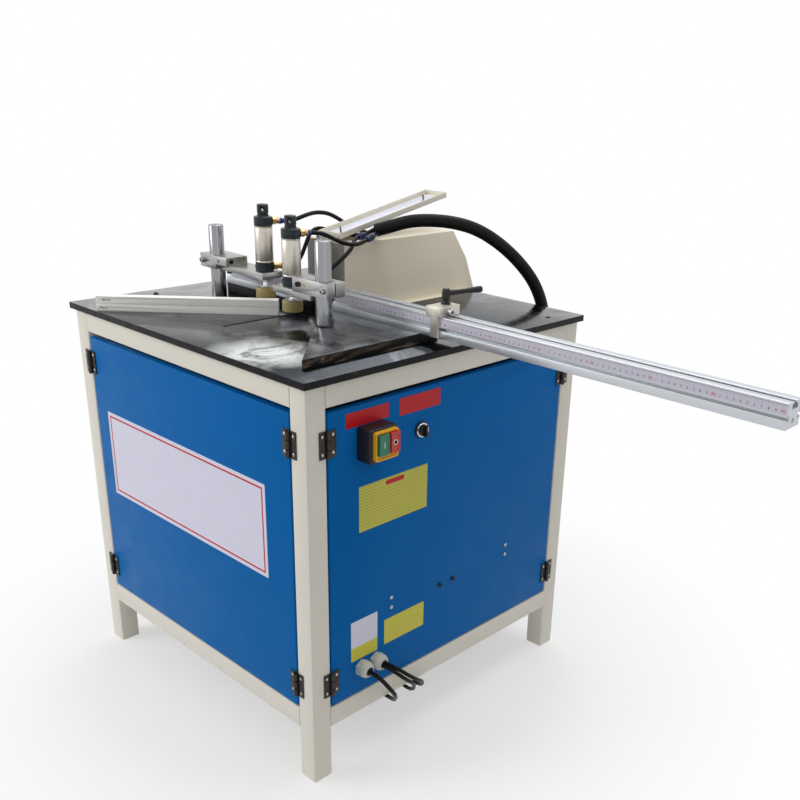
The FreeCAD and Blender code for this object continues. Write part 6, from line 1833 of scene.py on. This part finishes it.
@dataclass
class Cables:
    """Mains lead with its stored coil and plug, and the two machine cables."""

    mains_radius: float = 4.0
    cable_radius: float = 3.6
    coil_start: Point = (93.8, -60, 4)
    coil_radii: tuple[float, ...] = (63.8, 59.45, 55.1, 50.75, 46.4, 42.05, 37.7, 33.35)
    inner_radius: float = 29.0
    layer: float = 8.7
    steps: int = 12
    lead_out: float = 56.0
    plug_size: Point = (36, 48, 25.4)

    def build(self) -> list[bpy.types.Object]:
        """Build the lead, its plug and the cables."""
        plug = self.plug()
        return [plug, self.mains(), *self.cables()]

    def coil(self) -> tuple[list[Vector], Vector, int]:
        """Set out the points of the stored coil: half turns inwards, a climb, and half turns outwards.

        Returns:
            Points in metres, twelve for each half turn, a little outside the line that they pull the
            cord to, the coil's end in millimetres, and whether the lead runs on backwards or forwards.
        """
        wide = 1 / math.cos(math.pi / (2 * self.steps))
        here, way, points = Vector(self.coil_start), 1, []
        radii = (*self.coil_radii, self.inner_radius, *reversed(self.coil_radii))
        for turn, radius in enumerate(radii):
            centre = here - Vector((radius * way, 0, 0))
            climbs = turn == len(self.coil_radii)
            for k in range(self.steps):
                share = (k + 0.5) / self.steps
                angle = math.pi * share
                rise = self.layer * share if climbs else 0.0
                out = Vector((math.cos(angle) * way, math.sin(angle) * way, 0)) * radius * wide
                points.append(centre + out + Vector((0, 0, rise)))
            here = centre - Vector((radius * way, 0, 0))
            here.z += self.layer if climbs else 0.0
            way = -way
        return [spot(*point) for point in points], here, way

    def mains(self) -> bpy.types.Object:
        """Lay the lead from its gland to the floor and round its coil to the plug."""
        coil, start, way = self.coil()
        middle, end = (start + Vector((0, way * out, 0)) for out in (self.lead_out / 2, self.lead_out))
        piece = self.sheathed("mains_lead", [*MAINS, *coil, spot(*middle), spot(*end)], self.mains_radius)
        settled(piece, "mains_cord", "mains_cord", "mains_coil")
        return piece

    def sheathed(self, name: str, route: Sequence[Sequence[float]], radius: float) -> bpy.types.Object:
        """Lay a round black cable along a route.

        Args:
            name: Name of the cable.
            route: The route's points in metres.
            radius: The cable's radius in millimetres.

        Returns:
            The cable.
        """
        piece = smooth_line(name, route)
        piece.data.bevel_depth = radius * MM
        piece.data.bevel_resolution = 4
        piece.data.use_fill_caps = True
        piece.data.materials.append(SHEATH.material())
        return piece

    def plug(self) -> bpy.types.Object:
        """Mould the plug, with a grooved grip, a sleeve for the cord and two pins."""
        _, start, heading = self.coil()
        x, y, z = start + Vector((0, heading * self.lead_out, 0))
        width, length, tall = self.plug_size
        way = Vector((0, heading, 0))
        body = turned("plug_body", (x, y, z), way, [
            (self.mains_radius + 1.2, -9), (self.mains_radius + 2.4, 0), (9.5, 1), (12.4, 8), (12.4, 15),
            (11.4, 16.5), (11.4, 19), (12.4, 20.5), (12.4, 24), (11.4, 25.5), (11.4, 28), (12.4, 29.5),
            (12.4, length - 4), (11.6, length)], 40)
        body.data.transform(about(spot(x, y, z), Matrix.Diagonal((width / tall, 1, 1, 1))))
        parts = [painted(body, BLACK_PLASTIC)]
        for side in (-9.5, 9.5):
            parts.append(painted(turned("plug_pin", (x + side, y, z), way, [
                (2.4, length - 1), (2.4, length + 17), (1.4, length + 19)], 20), STEEL))
        return settled(joined("mains_plug_moulded", parts), "mains_plug", "mains_plug")

    def cables(self) -> list[bpy.types.Object]:
        """Lay the two cables from their gland to the terminals."""
        pieces = []
        for name, route, length in (("motor_cable", MOTOR_CABLE, 0.419), ("valve_cable", VALVE_CABLE, 0.431)):
            piece = self.sheathed(name, route, self.cable_radius)
            settled(piece, "machine_cables", "machine_cables")
            pieces.append(piece)
        return pieces


# Studio


@dataclass
class Studio:
    """Pale floor, soft lights and the camera."""

    place: Point = (1.14546, -1.24699, 1.18062)
    azimuth: float = 42.48
    fall: float = 22.92
    roll: float = 1.95
    lens: float = 43.487
    shift: tuple[float, float] = (-0.0568, 0.1060)

    def build(self) -> list[bpy.types.Object]:
        """Set the camera, the lights and the floor."""
        self.camera()
        self.lights()
        self.world()
        return [self.floor()]

    def camera(self) -> None:
        """Set the camera where the photographer stood."""
        turn, fall, roll = (math.radians(v) for v in (self.azimuth, self.fall, self.roll))
        ahead = Vector((-math.sin(turn) * math.cos(fall), math.cos(turn) * math.cos(fall), -math.sin(fall)))
        right = ahead.cross(Axis.Z.value).normalized()
        up = right.cross(ahead)
        across = right * math.cos(roll) + up * math.sin(roll)
        upward = up * math.cos(roll) - right * math.sin(roll)
        data = bpy.data.cameras.new("camera")
        data.lens, data.sensor_width = self.lens, 36.0
        data.shift_x, data.shift_y = self.shift
        data.clip_end = 60.0
        camera = bpy.data.objects.new("camera", data)
        turned_view = Matrix((across, upward, -ahead)).transposed().to_4x4()
        camera.matrix_world = Matrix.Translation(Vector(self.place)) @ turned_view
        bpy.context.collection.objects.link(camera)
        bpy.context.scene.camera = camera

    def lights(self) -> None:
        """Hang a large key lamp in front on the left, a fill lamp on the right and one overhead."""
        middle = Vector((-0.3, 0.0, 0.6))
        plan = (("key", (-2.6, -3.0, 2.3), 2.2, 66.0), ("fill", (3.2, -1.0, 1.7), 2.4, 3.0),
                ("top", (-0.4, 0.8, 3.4), 2.6, 56.0))
        for name, place, size, power in plan:
            data = bpy.data.lights.new(name, "AREA")
            data.shape, data.size, data.energy = "SQUARE", size, power
            lamp = bpy.data.objects.new(name, data)
            where = Vector(place)
            turn = (middle - where).to_track_quat("-Z", "Y").to_matrix().to_4x4()
            lamp.matrix_world = Matrix.Translation(where) @ turn
            bpy.context.collection.objects.link(lamp)

    def world(self) -> None:
        """Show white behind the object and shine softly from all round."""
        world = bpy.data.worlds.new("studio")
        world.use_nodes = True
        bpy.context.scene.world = world
        tree = world.node_tree
        ray = tree.nodes.new("ShaderNodeLightPath")
        shown = ray.outputs["Is Camera Ray"]
        for kind in ("Is Glossy Ray", "Is Transmission Ray"):
            either = tree.nodes.new("ShaderNodeMath")
            either.operation = "MAXIMUM"
            tree.links.new(shown, either.inputs[0])
            tree.links.new(ray.outputs[kind], either.inputs[1])
            shown = either.outputs[0]
        level = tree.nodes.new("ShaderNodeMapRange")
        level.inputs["To Min"].default_value = 0.46
        level.inputs["To Max"].default_value = 1.0
        tree.links.new(shown, level.inputs["Value"])
        backdrop = tree.nodes["Background"]
        backdrop.inputs["Color"].default_value = (1, 1, 1, 1)
        tree.links.new(level.outputs[0], backdrop.inputs["Strength"])

    def floor(self) -> bpy.types.Object:
        """Lay a pale floor that fades into the white backdrop far from the object."""
        deselect()
        bpy.ops.mesh.primitive_circle_add(vertices=96, radius=7, fill_type="NGON", location=(0, 0, 0))
        piece = bpy.context.object
        piece.name = "studio_floor"
        bpy.ops.object.mode_set(mode="EDIT")
        bpy.ops.mesh.select_all(action="SELECT")
        bpy.ops.mesh.inset(thickness=4.5)
        bpy.ops.object.mode_set(mode="OBJECT")
        shader = Shader("studio_floor")
        shade = shader.mix(shader.noise(0.8, 3, 0.5), (0.88, 0.88, 0.87), (0.93, 0.93, 0.92))
        shader.set(Base_Color=shade, Roughness=0.75)
        middle = tuple(spot(0, 0, 0))
        clear = shader.node("ShaderNodeBsdfTransparent").outputs[0]
        faded = shader.node("ShaderNodeMixShader", {0: shader.band(shader.away(middle), 0.5, 1.0, 0.5, 1.0)})
        shader.feed(faded.inputs[1], shader.surface.outputs[0])
        shader.feed(faded.inputs[2], clear)
        shader.feed(shader.tree.nodes["Material Output"].inputs["Surface"], faded.outputs[0])
        piece.data.materials.append(shader.material)
        return piece


def main() -> None:
    """Build every sub-assembly, dress it and log the name of each piece."""
    logging.basicConfig(level=logging.INFO, format="%(message)s")
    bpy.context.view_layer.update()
    to_right, to_front = Axis.X.value, -Axis.Y.value
    left = Clamp(side=Side.LEFT, jaw=(-69, -99), arm_top=827, pinch=(-222, -135, 830),
                 arm_screws=((-161.75, -114.5), (-161.75, -94.5)),
                 block_screws=(BlockScrew((-144, -124, 835), to_right, 4.2, 3.2),
                               BlockScrew((-144, -92, 838), to_right, 2.4),
                               BlockScrew((-205, -135, 831), to_front, 1.6),
                               BlockScrew((-170, -135, 834), to_front, 3.2)))
    right = Clamp(side=Side.RIGHT, jaw=(56, -133), arm_top=823, pinch=(181, -165, 836),
                  arm_screws=((117.25, -151), (117.25, -131)),
                  block_screws=(BlockScrew((113, -165, 838), to_front, 4.6, 4),
                                BlockScrew((129, -165, 838), to_front, 3.4, finish=BRASS)))
    saw = (Cabinet(), Table(), Fences(), LengthStop(), left, right, Guard(), Switchgear(), SawHead(),
           AirLines(), Cables())
    for part in saw:
        for piece in part.build():
            log.info("%s: %s", type(part).__name__, piece.name)
    for piece in Studio().build():
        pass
    bpy.context.scene.view_settings.view_transform = "Standard"


if __name__ == "__main__":
    main()
